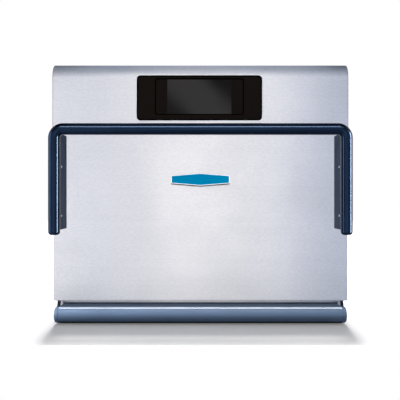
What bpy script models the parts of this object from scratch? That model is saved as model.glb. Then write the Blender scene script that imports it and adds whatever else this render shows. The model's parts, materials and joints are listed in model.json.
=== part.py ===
"""A countertop speed oven with a drop-down door, as separate pieces at their real size.

Metres, +Z up, the door faces -Y. The origin is on the counter, in the middle of the oven's width and
of its whole depth. Depths are measured backwards from the face of the door.
"""

import math

import bmesh
import bpy
from mathutils import Matrix, Vector

# Case
BODY_WIDTH = 0.620
BODY_DEPTH = 0.700
BODY_HEIGHT = 0.5525
BULL_RADIUS = 0.032
SHEET = 0.0012
SEAT = 0.0003
OVERRUN = 0.002
FASCIA_HEIGHT = 0.1375
FASCIA_TOP_RETURN = 0.030
COVER_SEAM = 0.0008
COVER_FLANGE = 0.015
BASE_FLANGE = 0.020

# Feet
FOOT_HEIGHT = 0.012
FOOT_RADIUS = 0.019
FOOT_TAPER = 0.002
FOOT_SIDE_INSET = 0.050
FOOT_FRONT_INSET = 0.062
FOOT_REAR_INSET = 0.060

# Front frame and the round nose under the door
FRAME_SHEET = 0.002
FRAME_RISE = 0.025
MOUTH_CORNER = 0.006
NOSE_RADIUS = 0.0175
NOSE_BOTTOM_Z = 0.0038
NOSE_SHEET = 0.0015
NOSE_SIDE_INSET = 0.0018
NOSE_UNDER_DEPTH = 0.036
NOSE_STEP_DEPTH = 0.0045
NOSE_LAP = 0.008
KNUCKLE_LENGTH = 0.0094
KNUCKLE_ROUND = 0.005

# Door
DOOR_SIDE_INSET = 0.0018
DOOR_THICKNESS = 0.045
DOOR_TOP_GAP = 0.003
DOOR_SILL_GAP = 0.0147
DOOR_BEND = 0.0025
GASKET_HEIGHT = 0.0024
GASKET_WIDTH = 0.010
GASKET_MARGIN = 0.012
PLUG_HEIGHT = 0.012
PLUG_CLEARANCE = 0.003
PLUG_BEND = 0.005
PANEL_INSET = 0.0015
INSULATION_INSET = 0.004

# Hinge
PIN_RADIUS = 0.004
PIN_CLEARANCE = 0.0003
PIN_PLUG_LENGTH = 0.016
PIN_REACH = 0.0075
STRAP_THICKNESS = 0.004
STRAP_DEPTH = 0.016
STRAP_LEAN = 0.0105
STRAP_SIDE_INSET = 0.0045
PAD_WIDTH = 0.0165
PAD_THICKNESS = 0.002
PAD_MARGIN = 0.004

# Handle
HANDLE_DIAMETER = 0.0234
HANDLE_STANDOFF = 0.063
HANDLE_SIDE_INSET = 0.0180
HANDLE_DROP = 0.0068
HANDLE_ARM_LENGTH = 0.2102
HANDLE_BEND = 0.018
HANDLE_TIP = 0.006
BRACKET_THICKNESS = 0.020
BRACKET_BOTTOM_RISE = 0.010
BRACKET_TOP_DROP = 0.007
BADGE_WIDTH = 0.122
BADGE_HEIGHT = 0.028
BADGE_CORNER = 0.006
BADGE_THICKNESS = 0.003
BADGE_DROP = 0.1057

# Display
DISPLAY_X = -0.0020
BEZEL_WIDTH = 0.2618
BEZEL_HEIGHT = 0.0940
BEZEL_CORNER = 0.008
BEZEL_PROUD = 0.0030
BEZEL_RISE = 0.0629
GLASS_WIDTH = 0.1856
GLASS_HEIGHT = 0.0763
GLASS_CORNER = 0.005
GLASS_LIFT = 0.0025
GLASS_SINK = 0.0015
GLASS_THICKNESS = 0.002
COLLAR_WALL = 0.002
COLLAR_DEPTH = 0.012
MODULE_MARGIN = 0.0015
MODULE_THICKNESS = 0.010
BOARD_STANDOFF = 0.018
BOARD_MARGIN = 0.020
BOARD_THICKNESS = 0.0016
STANDOFF_RADIUS = 0.003
STANDOFF_INSET = 0.012
CHIP_SIZE = 0.024
CHIP_HEIGHT = 0.003
PLUG_BLOCK_WIDTH = 0.040
PLUG_BLOCK_HEIGHT = 0.010
PLUG_BLOCK_REACH = 0.012

# Cavity
CAVITY_SIDE_INSET = 0.072
CAVITY_TOP_DROP = 0.054
CAVITY_REAR_INSET = 0.2437
CAVITY_FLOOR_RISE = 0.095
PLENUM_HEIGHT = 0.018
LINER_SHEET = 0.0015
WOOL_THICKNESS = 0.025
UPPER_JET_RADIUS = 0.006
UPPER_JET_COLUMNS = 5
UPPER_JET_ROWS = 4
LOWER_JET_RADIUS = 0.008
LOWER_JET_COLUMNS = 4
LOWER_JET_ROWS = 3
JET_MARGIN = 0.045
SUPPLY_SLOT_INSET = 0.048
SUPPLY_SLOT_HEIGHT = 0.012
CATALYST_GAP = 0.016
CATALYST_THICKNESS = 0.020
CATALYST_RIM = 0.003
CATALYST_RINGS = 2
CATALYST_CELL_SHARE = 5 / 12

# Rack and rails
RAIL_RISE = 0.040
RAIL_LEDGE = 0.014
RAIL_WALL = 0.014
RAIL_SHEET = 0.0015
RAIL_FRONT_GAP = 0.014
RAIL_REAR_GAP = 0.012
RACK_WIRE = 0.005
RACK_BAR = 0.003
RACK_CROSSBAR = 0.004
RACK_BAR_LIFT = 0.0008
RACK_CROSSBAR_DROP = 0.0003
RACK_BARS = 11
RACK_CROSSBARS = 1
RACK_SIDE_GAP = 0.003
RACK_FRONT_GAP = 0.028
RACK_REAR_GAP = 0.006
RACK_CORNER = 0.016

# Hot-air system
HOUSING_DEPTH = 0.087
BLOWER_GAP = 0.018
BLOWER_FRONT_GAP = 0.029
BLOWER_LENGTH = 0.034
BLOWER_BLADES = 10
BLOWER_RING = 0.020
BLADE_SHEET = 0.0015
DISC_SHEET = 0.002
HUB_RADIUS = 0.018
HUB_LENGTH = 0.016
SHAFT_RADIUS = 0.005
SHAFT_CLEARANCE = 0.0003
SHAFT_HOLE_RADIUS = 0.010
SHAFT_LENGTH = 0.055
MOTOR_FLANGE_RADIUS = 0.062
MOTOR_FLANGE = 0.003
MOTOR_RADIUS = 0.048
MOTOR_LENGTH = 0.072
MOTOR_CAP_RADIUS = 0.020
MOTOR_CAP = 0.006
HEATER_WALL_GAP = 0.0345
HEATER_TUBE = 0.008
HEATER_GAP_HALF = 0.0117
HEATER_TAIL = 0.020
PROBE_DIAMETER = 0.006
PROBE_REACH = 0.050
PROBE_TAIL = 0.014
PROBE_FLANGE_RADIUS = 0.008
PROBE_FLANGE = 0.003
PROBE_INSET = 0.055
VENT_OUTER_RADIUS = 0.012
VENT_WALL = 0.0015
VENT_SIDE_INSET = 0.065
VENT_TOP_INSET = 0.036

# Microwave supply
GUIDE_WIDTH = 0.090
GUIDE_HEIGHT = 0.040
GUIDE_LENGTH = 0.200
GUIDE_SHEET = 0.0015
GUIDE_REAR_INSET = 0.0575
GUIDE_SIDE_INSET = 0.070
ANTENNA_RADIUS = 0.012
ANTENNA_LENGTH = 0.018
ANTENNA_INSET = 0.050
YOKE_WIDTH = 0.086
YOKE_DEPTH = 0.072
YOKE_HEIGHT = 0.066
YOKE_SHEET = 0.003
FIN_COUNT = 3
FIN_SHEET = 0.0015
CORE_RADIUS = 0.020
FILTER_BOX_HEIGHT = 0.018
FILTER_BOX_INSET = 0.016
TRANSFORMER_WIDTH = 0.100
TRANSFORMER_DEPTH = 0.085
TRANSFORMER_HEIGHT = 0.080
TRANSFORMER_SIDE_INSET = 0.030
TRANSFORMER_REAR_INSET = 0.030
WINDING_OVERHANG = 0.010
WINDING_INSET = 0.016
WINDING_BEND = 0.006
BRACKET_FOOT = 0.003
CAPACITOR_RADIUS = 0.025
CAPACITOR_HEIGHT = 0.095
CAPACITOR_GAP = 0.015
CAPACITOR_RIM = 0.003
TAB_WIDTH = 0.0065
TAB_THICKNESS = 0.001
TAB_HEIGHT = 0.012
TAB_SPREAD = 0.010

# Cooling and mains
FAN_SIZE = 0.120
FAN_DEPTH = 0.038
FAN_BORE_RADIUS = 0.0565
FAN_SIDE_INSET = 0.058
FAN_TOP_INSET = 0.040
FAN_HUB_RADIUS = 0.022
FAN_HUB_PLATE = 0.004
FAN_STRUT = 0.006
FAN_STRUTS = 3
FAN_PIN_RADIUS = 0.003
FAN_PIN_LENGTH = 0.018
FAN_ROTOR_LENGTH = 0.027
FAN_BLADES = 7
FAN_BLADE_CLEARANCE = 0.0022
FAN_BLADE_CHORD = 0.026
FAN_BLADE_SHEET = 0.0018
FAN_BLADE_PITCH = math.radians(38)
GRILLE_SLOTS = 7
GRILLE_SLOT_HEIGHT = 0.006
GRILLE_PITCH = 0.0145
LOUVRE_COUNT = 7
LOUVRE_WIDTH = 0.005
LOUVRE_HEIGHT = 0.070
LOUVRE_PITCH = 0.014
LOUVRE_REAR_INSET = 0.120
LOUVRE_RISE = 0.045
FILTER_BOARD_WIDTH = 0.150
FILTER_BOARD_HEIGHT = 0.085
FILTER_BOARD_STANDOFF = 0.012
FILTER_BOARD_TOP_INSET = 0.045
CHOKE_RADIUS = 0.014
CHOKE_HEIGHT = 0.018
RELAY_WIDTH = 0.030
RELAY_DEPTH = 0.016
RELAY_HEIGHT = 0.024
GLAND_REACH = 0.014
GLAND_RADIUS = 0.016
GLAND_BODY_RADIUS = 0.0125
GLAND_BORE_RADIUS = 0.006
GLAND_BODY_LENGTH = 0.015
GLAND_SIDE_INSET = 0.080
GLAND_RISE = 0.170
GLAND_ROUND = 0.003

# Interlock
SWITCH_WIDTH = 0.012
SWITCH_HEIGHT = 0.022
SWITCH_LENGTH = 0.030
SWITCH_DROP = 0.022
PLUNGER_RADIUS = 0.0025
PLUNGER_CLEARANCE = 0.0004
PLUNGER_SEATED = 0.014

# Facets
CORNER_STEPS = 4
BULL_STEPS = 7
NOSE_STEPS = 12
ROUND_STEPS = 24
SMALL_STEPS = 12
JET_STEPS = 8
WIRE_STEPS = 6
HEATER_STEPS = 20
KNUCKLE_STEPS = 3
HANDLE_BEND_STEPS = 5
HANDLE_TIP_STEPS = 3
SHARP_ANGLE = math.radians(35)
QUARTER = math.pi / 2

# Places that follow from the sizes
FACE_Y = (HANDLE_STANDOFF + HANDLE_DIAMETER / 2 - BODY_DEPTH - GLAND_REACH) / 2
HALF_WIDTH = BODY_WIDTH / 2
INSIDE_X = HALF_WIDTH - SHEET - SEAT
FASCIA_BOTTOM_Z = BODY_HEIGHT - FASCIA_HEIGHT
FRAME_DEPTH = DOOR_THICKNESS + GASKET_HEIGHT + 2 * SEAT
FRAME_BACK = FRAME_DEPTH + FRAME_SHEET
FRAME_TOP_Z = FASCIA_BOTTOM_Z + FRAME_RISE
REAR_INSIDE = BODY_DEPTH - SHEET
TOP_INSIDE_Z = BODY_HEIGHT - SHEET
BASE_TOP_Z = FOOT_HEIGHT + SHEET
NOSE_HALF_WIDTH = HALF_WIDTH - NOSE_SIDE_INSET
HINGE_Z = NOSE_BOTTOM_Z + NOSE_RADIUS
NOSE_TOP_Z = HINGE_Z + NOSE_RADIUS
DOOR_BOTTOM_Z = NOSE_TOP_Z + DOOR_SILL_GAP
DOOR_TOP_Z = FASCIA_BOTTOM_Z - DOOR_TOP_GAP
DOOR_HALF = HALF_WIDTH - DOOR_SIDE_INSET
DOOR_PANEL_DEPTH = DOOR_THICKNESS - SHEET
HANDLE_X = DOOR_HALF - HANDLE_SIDE_INSET
HANDLE_Z = DOOR_TOP_Z - HANDLE_DROP
HANDLE_RADIUS = HANDLE_DIAMETER / 2
BEZEL_Z = FASCIA_BOTTOM_Z + BEZEL_RISE
GLASS_Z = BEZEL_Z + GLASS_LIFT
MODULE_DEPTH = GLASS_SINK - BEZEL_PROUD + GLASS_THICKNESS
BOARD_DEPTH = MODULE_DEPTH + MODULE_THICKNESS + 2 * SEAT + BOARD_STANDOFF
CAVITY_HALF = HALF_WIDTH - CAVITY_SIDE_INSET
CAVITY_WIDTH = 2 * CAVITY_HALF
CAVITY_FLOOR_Z = FOOT_HEIGHT + CAVITY_FLOOR_RISE
CAVITY_TOP_Z = FASCIA_BOTTOM_Z - CAVITY_TOP_DROP
CAVITY_HEIGHT = CAVITY_TOP_Z - CAVITY_FLOOR_Z
CAVITY_MID_Z = (CAVITY_FLOOR_Z + CAVITY_TOP_Z) / 2
LINER_FRONT = FRAME_BACK + SEAT
LINER_REAR = BODY_DEPTH - CAVITY_REAR_INSET
LINER_BACK = LINER_REAR + LINER_SHEET
LINER_FLOOR_Z = CAVITY_FLOOR_Z - LINER_SHEET - PLENUM_HEIGHT
LINER_ROOF_Z = CAVITY_TOP_Z + LINER_SHEET + PLENUM_HEIGHT
LINER_OUTSIDE_X = CAVITY_HALF + LINER_SHEET
WOOL_INSIDE_X = LINER_OUTSIDE_X + SEAT
WOOL_OUTSIDE_X = WOOL_INSIDE_X + WOOL_THICKNESS
WOOL_FLOOR_Z = LINER_FLOOR_Z - LINER_SHEET - SEAT
WOOL_ROOF_Z = LINER_ROOF_Z + LINER_SHEET + SEAT
WOOL_TOP_Z = WOOL_ROOF_Z + WOOL_THICKNESS
RAIL_Z = CAVITY_FLOOR_Z + RAIL_RISE
RACK_Z = RAIL_Z + RAIL_SHEET + SEAT + RACK_WIRE / 2
RACK_HALF = CAVITY_HALF - SEAT - RAIL_SHEET - RACK_SIDE_GAP - RACK_WIRE / 2
RACK_REAR = LINER_REAR - RACK_REAR_GAP - RACK_WIRE / 2
RACK_FRONT = LINER_FRONT + RACK_FRONT_GAP + RACK_WIRE / 2
HOUSING_FRONT = LINER_BACK + SEAT
HOUSING_BACK = HOUSING_FRONT + HOUSING_DEPTH
BLOWER_FRONT = HOUSING_FRONT + BLOWER_FRONT_GAP
BLOWER_BACK = BLOWER_FRONT + BLOWER_LENGTH
MOTOR_FRONT = HOUSING_BACK + SEAT
SHAFT_TIP = BLOWER_BACK + SHAFT_LENGTH
HEATER_RADIUS = (LINER_ROOF_Z - LINER_FLOOR_Z) / 2 - HEATER_WALL_GAP
BLOWER_RADIUS = HEATER_RADIUS - BLOWER_GAP
CATALYST_RADIUS = BLOWER_RADIUS - CATALYST_GAP
CATALYST_PITCH = (CATALYST_RADIUS - CATALYST_RIM) / (CATALYST_RINGS + 1 / 2)
HEATER_DEPTH = BLOWER_FRONT + BLOWER_LENGTH / 2
HEATER_TAIL_Z = CAVITY_MID_Z - math.sqrt(HEATER_RADIUS**2 - HEATER_GAP_HALF**2)
VENT_X = LINER_OUTSIDE_X - VENT_SIDE_INSET
VENT_Z = LINER_ROOF_Z - VENT_TOP_INSET
PROBE_X = CATALYST_RADIUS + PROBE_INSET
PROBE_Z = CAVITY_TOP_Z - PROBE_INSET
GUIDE_X = WOOL_OUTSIDE_X - GUIDE_SIDE_INSET - GUIDE_WIDTH / 2
GUIDE_Z = WOOL_TOP_Z + SEAT
GUIDE_BACK = LINER_BACK - GUIDE_REAR_INSET
GUIDE_FRONT = GUIDE_BACK - GUIDE_LENGTH
YOKE_Z = GUIDE_Z + GUIDE_HEIGHT + SEAT
TRANSFORMER_X = INSIDE_X - TRANSFORMER_SIDE_INSET - TRANSFORMER_WIDTH / 2
TRANSFORMER_BACK = REAR_INSIDE - TRANSFORMER_REAR_INSET
CAPACITOR_X = TRANSFORMER_X - TRANSFORMER_WIDTH / 2 - CAPACITOR_GAP - CAPACITOR_RADIUS
FAN_X = INSIDE_X - FAN_SIDE_INSET - FAN_SIZE / 2
FAN_Z = TOP_INSIDE_Z - FAN_TOP_INSET - FAN_SIZE / 2
FAN_BACK = REAR_INSIDE - SEAT
FAN_FRONT = FAN_BACK - FAN_DEPTH
ROTOR_FRONT = FAN_FRONT + FAN_HUB_PLATE + OVERRUN
FILTER_BOARD_Z = TOP_INSIDE_Z - FILTER_BOARD_TOP_INSET - FILTER_BOARD_HEIGHT / 2
FILTER_BOARD_BACK = REAR_INSIDE - SEAT - FILTER_BOARD_STANDOFF
GLAND_X = GLAND_SIDE_INSET - INSIDE_X
GLAND_Z = FOOT_HEIGHT + GLAND_RISE
SWITCH_X = (WOOL_OUTSIDE_X + INSIDE_X) / 2
SWITCH_Z = DOOR_TOP_Z - SWITCH_DROP
PLUNGER_TIP = DOOR_THICKNESS + SEAT
PLUNGER_BACK = FRAME_BACK + PLUNGER_SEATED


# Collections, looks and placing

for leftover in list(bpy.data.objects):
    bpy.data.objects.remove(leftover, do_unlink=True)

PARTS = bpy.data.collections.new("speed_oven")
CUTTERS = bpy.data.collections.new("speed_oven_cutters")
bpy.context.scene.collection.children.link(PARTS)
bpy.context.scene.collection.children.link(CUTTERS)

# An outline drawn in X and Y stands up in X and Z, or in Y and Z.
FACING_Y = Matrix.Rotation(QUARTER, 4, "X")
FACING_X = Matrix(((0, 0, 1, 0), (1, 0, 0, 0), (0, 1, 0, 0), (0, 0, 0, 1)))
LYING = Matrix.Identity(4)
# A shape drawn upwards is laid along an axis, or points to the front.
ALONG = {"X": Matrix.Rotation(QUARTER, 4, "Y"), "Y": Matrix.Rotation(-QUARTER, 4, "X"), "Z": LYING}
FORWARDS = FACING_Y


def back(depth):
    """The Y of a depth measured backwards from the door's face."""
    return FACE_Y + depth


def look(name, colour, roughness, metallic=0.0):
    finish = bpy.data.materials.new(name)
    finish.use_nodes = True
    shader = finish.node_tree.nodes["Principled BSDF"]
    shader.inputs["Base Color"].default_value = (*colour, 1)
    shader.inputs["Roughness"].default_value = roughness
    shader.inputs["Metallic"].default_value = metallic
    return finish


STEEL = (0.72, 0.73, 0.76)
NAVY = (0.012, 0.026, 0.052)
GALVANISED = (0.55, 0.57, 0.58)
DARK = (0.02, 0.02, 0.022)
WOOL = (0.72, 0.69, 0.60)
WHITE = (0.80, 0.80, 0.78)
GREEN = (0.03, 0.16, 0.07)
BLUE = (0.01, 0.30, 0.66)


def place(obj, finish, home=PARTS):
    home.objects.link(obj)
    if finish:
        obj.data.materials.append(finish)
        for face in obj.data.polygons:
            face.material_index = 0
    else:
        obj.hide_render = True
        obj.display_type = "WIRE"
    return obj


def from_bmesh(name, shape, finish, smooth=False):
    mesh = bpy.data.meshes.new(name)
    shape.to_mesh(mesh)
    shape.free()
    if smooth:
        mesh.shade_smooth()
        mesh.set_sharp_from_angle(angle=SHARP_ANGLE)
    return place(bpy.data.objects.new(name, mesh), finish, PARTS if finish else CUTTERS)


# Shapes


def add_box(shape, low, high, turn=None):
    """A cube stretched between two corners, turned about its own centre if a turn is given."""
    made = bmesh.ops.create_cube(shape, size=1)["verts"]
    middle = (Vector(low) + Vector(high)) / 2
    spans = Vector(high) - Vector(low)
    for vert in made:
        vert.co = Vector(co * span for co, span in zip(vert.co, spans))
        if turn:
            vert.co = turn @ vert.co
        vert.co += middle
    return made


def boxes(name, corners, finish=None):
    """One object of boxes that lie apart, each given by its lowest and highest corner."""
    shape = bmesh.new()
    for low, high in corners:
        add_box(shape, low, high)
    return from_bmesh(name, shape, finish)


def add_rod(shape, radius, start, end, axis, steps):
    """A round rod along an axis, from one point to another that lies along it."""
    middle = Matrix.Translation((Vector(start) + Vector(end)) / 2)
    bmesh.ops.create_cone(
        shape,
        cap_ends=True,
        segments=steps,
        radius1=radius,
        radius2=radius,
        depth=(Vector(end) - Vector(start)).length,
        matrix=middle @ ALONG[axis],
    )


def rods(name, places, axis, finish=None, steps=SMALL_STEPS):
    """One object of round rods that lie apart, each given by its radius and its two end points."""
    shape = bmesh.new()
    for radius, start, end in places:
        add_rod(shape, radius, start, end, axis, steps)
    return from_bmesh(name, shape, finish, smooth=True)


def solid_from_curve(name, curve, placing, finish):
    """The closed mesh of a curve, with its caps welded to its sides."""
    draft = bpy.data.objects.new(name + "_draft", curve)
    CUTTERS.objects.link(draft)
    draft.matrix_world = placing
    graph = bpy.context.evaluated_depsgraph_get()
    mesh = bpy.data.meshes.new_from_object(draft.evaluated_get(graph))
    shape = bmesh.new()
    shape.from_mesh(mesh)
    bmesh.ops.remove_doubles(shape, verts=shape.verts, dist=SEAT / ROUND_STEPS)
    bmesh.ops.recalc_face_normals(shape, faces=shape.faces)
    bpy.data.objects.remove(draft)
    bpy.data.meshes.remove(mesh)
    solid = from_bmesh(name, shape, finish, smooth=True)
    solid.matrix_world = placing
    return solid


def outline(name, loops, thickness, middle, facing, finish=None):
    """A flat outline, with any holes in it as further loops, given its thickness about a middle point."""
    curve = bpy.data.curves.new(name, "CURVE")
    curve.dimensions = "2D"
    curve.fill_mode = "BOTH"
    curve.extrude = thickness / 2
    for loop in loops:
        spline = curve.splines.new("POLY")
        spline.points.add(len(loop) - 1)
        for point, (u, v) in zip(spline.points, loop):
            point.co = (u, v, 0, 1)
        spline.use_cyclic_u = True
    return solid_from_curve(name, curve, Matrix.Translation(middle) @ facing, finish)


def tube(name, points, radius, finish=None, rings=2, closed=False, swell=None):
    """A round tube along points, with a share of its radius at each point if they are given."""
    curve = bpy.data.curves.new(name, "CURVE")
    curve.dimensions = "3D"
    curve.bevel_depth = radius
    curve.bevel_resolution = rings
    curve.use_fill_caps = True
    spline = curve.splines.new("POLY")
    spline.points.add(len(points) - 1)
    for point, place_of in zip(spline.points, points):
        point.co = (*place_of, 1)
    for point, share in zip(spline.points, swell or ()):
        point.radius = share
    spline.use_cyclic_u = closed
    return solid_from_curve(name, curve, LYING, finish)


def turned(name, profile, middle, axis, finish=None, steps=ROUND_STEPS, closed=False):
    """A profile of radius and height, run down its outer side, turned about an axis through a point."""
    shape = bmesh.new()
    verts = [shape.verts.new((radius, 0, height)) for radius, height in profile]
    for first, second in zip(verts, verts[1:] + verts[:1] if closed else verts[1:]):
        shape.edges.new((first, second))
    solid = from_bmesh(name, shape, finish)
    spin = solid.modifiers.new("turned", "SCREW")
    spin.axis = "Z"
    spin.steps = steps
    spin.render_steps = steps
    spin.use_merge_vertices = True
    spin.merge_threshold = SEAT / ROUND_STEPS
    solid.matrix_world = Matrix.Translation(middle) @ ALONG[axis]
    return solid


def tray(name, low, high, open_side, sheet, finish, bend=0.0):
    """A box of bent sheet with one side left open, its outside between two corners."""
    shape = bmesh.new()
    add_box(shape, low, high)
    shape.normal_update()
    gone = [face for face in shape.faces if face.normal.dot(Vector(open_side)) > 0.5]
    bmesh.ops.delete(shape, geom=gone, context="FACES_ONLY")
    solid = from_bmesh(name, shape, finish)
    if bend:
        rounding = solid.modifiers.new("bends", "BEVEL")
        rounding.width = bend
        rounding.segments = CORNER_STEPS - 1
        rounding.limit_method = "ANGLE"
    walls = solid.modifiers.new("sheet", "SOLIDIFY")
    walls.thickness = sheet
    walls.offset = -1
    walls.use_even_offset = True
    return solid


def cut(solid, *cutters):
    for cutter in cutters:
        step = solid.modifiers.new("cut", "BOOLEAN")
        step.operation = "DIFFERENCE"
        step.object = cutter
    return solid


def fuse(solid, *others):
    for other in others:
        step = solid.modifiers.new("join", "BOOLEAN")
        step.operation = "UNION"
        step.object = other
    return solid


def round_edges(solid, width, segments=2):
    rounding = solid.modifiers.new("edges", "BEVEL")
    rounding.width = width
    rounding.segments = segments
    rounding.limit_method = "ANGLE"
    return solid


def arc(middle, radius, start, end, steps):
    """Points along an arc, from one angle to another."""
    spread = [start + (end - start) * i / steps for i in range(steps + 1)]
    return [(middle[0] + radius * math.cos(a), middle[1] + radius * math.sin(a)) for a in spread]


def rounded_rect(width, height, radius, middle=(0, 0)):
    """A rectangle with round corners, as one loop of points."""
    across = width / 2 - radius
    up = height / 2 - radius
    loop = []
    for turn, (side, level) in enumerate(((1, 1), (-1, 1), (-1, -1), (1, -1))):
        centre = (middle[0] + side * across, middle[1] + level * up)
        loop += arc(centre, radius, turn * QUARTER, (turn + 1) * QUARTER, CORNER_STEPS)
    return loop


def circle(radius, middle=(0, 0), steps=SMALL_STEPS):
    return arc(middle, radius, 0, 2 * math.pi, steps)[:-1]


def bent_sheet(points, thickness):
    """The closed outline of a bent sheet: a line of points, and the same line set to its left."""
    path = [Vector(point) for point in points]
    normals = []
    for first, second in zip(path, path[1:]):
        run = (second - first).normalized()
        normals.append(Vector((-run.y, run.x)))
    inner = []
    for i, point in enumerate(path):
        before = normals[max(i - 1, 0)]
        after = normals[min(i, len(normals) - 1)]
        inner.append(point + thickness * (before + after) / (1 + before.dot(after)))
    return [tuple(point) for point in path + inner[::-1]]


def mirrored(points):
    """Points on the other side of the middle, in the order that keeps their left on the same side."""
    return [(-u, v) for u, v in reversed(points)]


def ring_places(count, radius, start=0.0):
    """Angles and points spread evenly round a circle."""
    turns = [start + 2 * math.pi * i / count for i in range(count)]
    return [(turn, radius * math.cos(turn), radius * math.sin(turn)) for turn in turns]


def spread(low, high, count):
    """Places spread evenly from one to another."""
    return [low + (high - low) * i / (count - 1) for i in range(count)]


def side_name(side):
    return "right" if side > 0 else "left"


# Case


def make_base():
    base = tray(
        "base_pan",
        (-INSIDE_X, back(FRAME_BACK + SEAT), FOOT_HEIGHT),
        (INSIDE_X, back(REAR_INSIDE - SEAT), FOOT_HEIGHT + BASE_FLANGE),
        (0, 0, 1),
        SHEET,
        look("base_galvanised", GALVANISED, 0.45, 0.9),
    )
    rubber = look("foot_rubber", DARK, 0.8)
    foot_x = HALF_WIDTH - FOOT_SIDE_INSET
    top = FOOT_HEIGHT - SEAT
    profile = [(0, top), (FOOT_RADIUS - FOOT_TAPER, top), (FOOT_RADIUS, FOOT_TAPER)]
    profile += [(FOOT_RADIUS - FOOT_TAPER, 0), (0, 0)]
    for row, depth in (
        ("front", FOOT_FRONT_INSET + FOOT_RADIUS),
        ("rear", BODY_DEPTH - FOOT_REAR_INSET - FOOT_RADIUS),
    ):
        for side in (-1, 1):
            name = f"foot_{row}_{side_name(side)}"
            turned(name, profile, (side * foot_x, back(depth), 0), "Z", rubber, SMALL_STEPS)
    return base


def make_side_panels():
    finish = look("side_steel", STEEL, 0.32, 1.0)
    profile = [(back(FRAME_DEPTH), FOOT_HEIGHT), (back(BODY_DEPTH), FOOT_HEIGHT)]
    profile.append((back(BODY_DEPTH), BODY_HEIGHT))
    bull = (back(BULL_RADIUS), BODY_HEIGHT - BULL_RADIUS)
    profile += arc(bull, BULL_RADIUS, QUARTER, 2 * QUARTER, BULL_STEPS)
    profile += [(back(0), FASCIA_BOTTOM_Z), (back(FRAME_DEPTH), FASCIA_BOTTOM_Z)]
    first = BODY_DEPTH - LOUVRE_REAR_INSET - LOUVRE_PITCH * (LOUVRE_COUNT - 1)
    bottom = FOOT_HEIGHT + LOUVRE_RISE
    for side in (-1, 1):
        middle_x = side * (HALF_WIDTH - SHEET / 2)
        name = f"{side_name(side)}_side_panel"
        panel = outline(name, [profile], SHEET, (middle_x, 0, 0), FACING_X, finish)
        slots = []
        for i in range(LOUVRE_COUNT):
            start = back(first + i * LOUVRE_PITCH)
            low = (middle_x - OVERRUN, start, bottom)
            slots.append((low, (middle_x + OVERRUN, start + LOUVRE_WIDTH, bottom + LOUVRE_HEIGHT)))
        cut(panel, boxes(f"side_louvres_{side_name(side)}", slots))


def make_top_cover():
    """A sheet with its two sides bent down, behind the fascia's top return."""
    front = BULL_RADIUS + FASCIA_TOP_RETURN + COVER_SEAM
    flange_z = BODY_HEIGHT - COVER_FLANGE
    side = [(INSIDE_X, flange_z), (INSIDE_X, BODY_HEIGHT)]
    line = side + mirrored(side)
    middle = (0, back((front + BODY_DEPTH) / 2), 0)
    finish = look("cover_steel", STEEL, 0.32, 1.0)
    cover = outline("top_cover", [bent_sheet(line, SHEET)], BODY_DEPTH - front, middle, FACING_Y, finish)
    # The flanges stop short of the rear panel.
    low = (-HALF_WIDTH, back(REAR_INSIDE - SEAT), flange_z - OVERRUN)
    high = (HALF_WIDTH, back(BODY_DEPTH + OVERRUN), TOP_INSIDE_Z - SEAT)
    cut(cover, boxes("cover_flange_notch", [(low, high)]))


def fan_slots(middle_x):
    """The slots of a round grille in front of a cooling fan, each as long as the circle is wide there."""
    slots = []
    for i in range(GRILLE_SLOTS):
        level = GRILLE_PITCH * (i - (GRILLE_SLOTS - 1) / 2)
        half = math.sqrt(FAN_BORE_RADIUS**2 - level**2) - GRILLE_SLOT_HEIGHT / 2
        low = (middle_x - half, back(REAR_INSIDE - OVERRUN), FAN_Z + level - GRILLE_SLOT_HEIGHT / 2)
        high = (middle_x + half, back(BODY_DEPTH + OVERRUN), FAN_Z + level + GRILLE_SLOT_HEIGHT / 2)
        slots.append((low, high))
    return slots


def make_rear_panel():
    finish = look("rear_steel", STEEL, 0.40, 1.0)
    low = (-INSIDE_X, back(REAR_INSIDE), FOOT_HEIGHT)
    panel = boxes("rear_panel", [(low, (INSIDE_X, back(BODY_DEPTH), TOP_INSIDE_Z - SEAT))], finish)
    cut(panel, boxes("rear_grille_slots", fan_slots(-FAN_X) + fan_slots(FAN_X)))
    start, end = back(REAR_INSIDE - OVERRUN), back(BODY_DEPTH + OVERRUN)
    holes = [
        (VENT_OUTER_RADIUS - VENT_WALL, (VENT_X, start, VENT_Z), (VENT_X, end, VENT_Z)),
        (GLAND_BODY_RADIUS + SEAT, (GLAND_X, start, GLAND_Z), (GLAND_X, end, GLAND_Z)),
    ]
    cut(panel, rods("rear_round_holes", holes, "Y"))


def make_fascia():
    """One sheet: the return over the door, the flat face, the bullnose and a short flat on top."""
    bull = (BULL_RADIUS, BODY_HEIGHT - BULL_RADIUS)
    line = [(FRAME_DEPTH - SEAT, FASCIA_BOTTOM_Z), (0, FASCIA_BOTTOM_Z)]
    line += arc(bull, BULL_RADIUS, 2 * QUARTER, QUARTER, BULL_STEPS)
    line.append((BULL_RADIUS + FASCIA_TOP_RETURN, BODY_HEIGHT))
    finish = look("fascia_steel", STEEL, 0.30, 1.0)
    middle = (0, FACE_Y, 0)
    fascia = outline("control_fascia", [bent_sheet(line, -SHEET)], 2 * INSIDE_X, middle, FACING_X, finish)
    half_x = GLASS_WIDTH / 2 + COLLAR_WALL + SEAT
    half_z = GLASS_HEIGHT / 2 + COLLAR_WALL + SEAT
    low = (DISPLAY_X - half_x, back(-OVERRUN), GLASS_Z - half_z)
    high = (DISPLAY_X + half_x, back(COLLAR_DEPTH), GLASS_Z + half_z)
    cut(fascia, boxes("display_opening", [(low, high)]))


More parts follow.
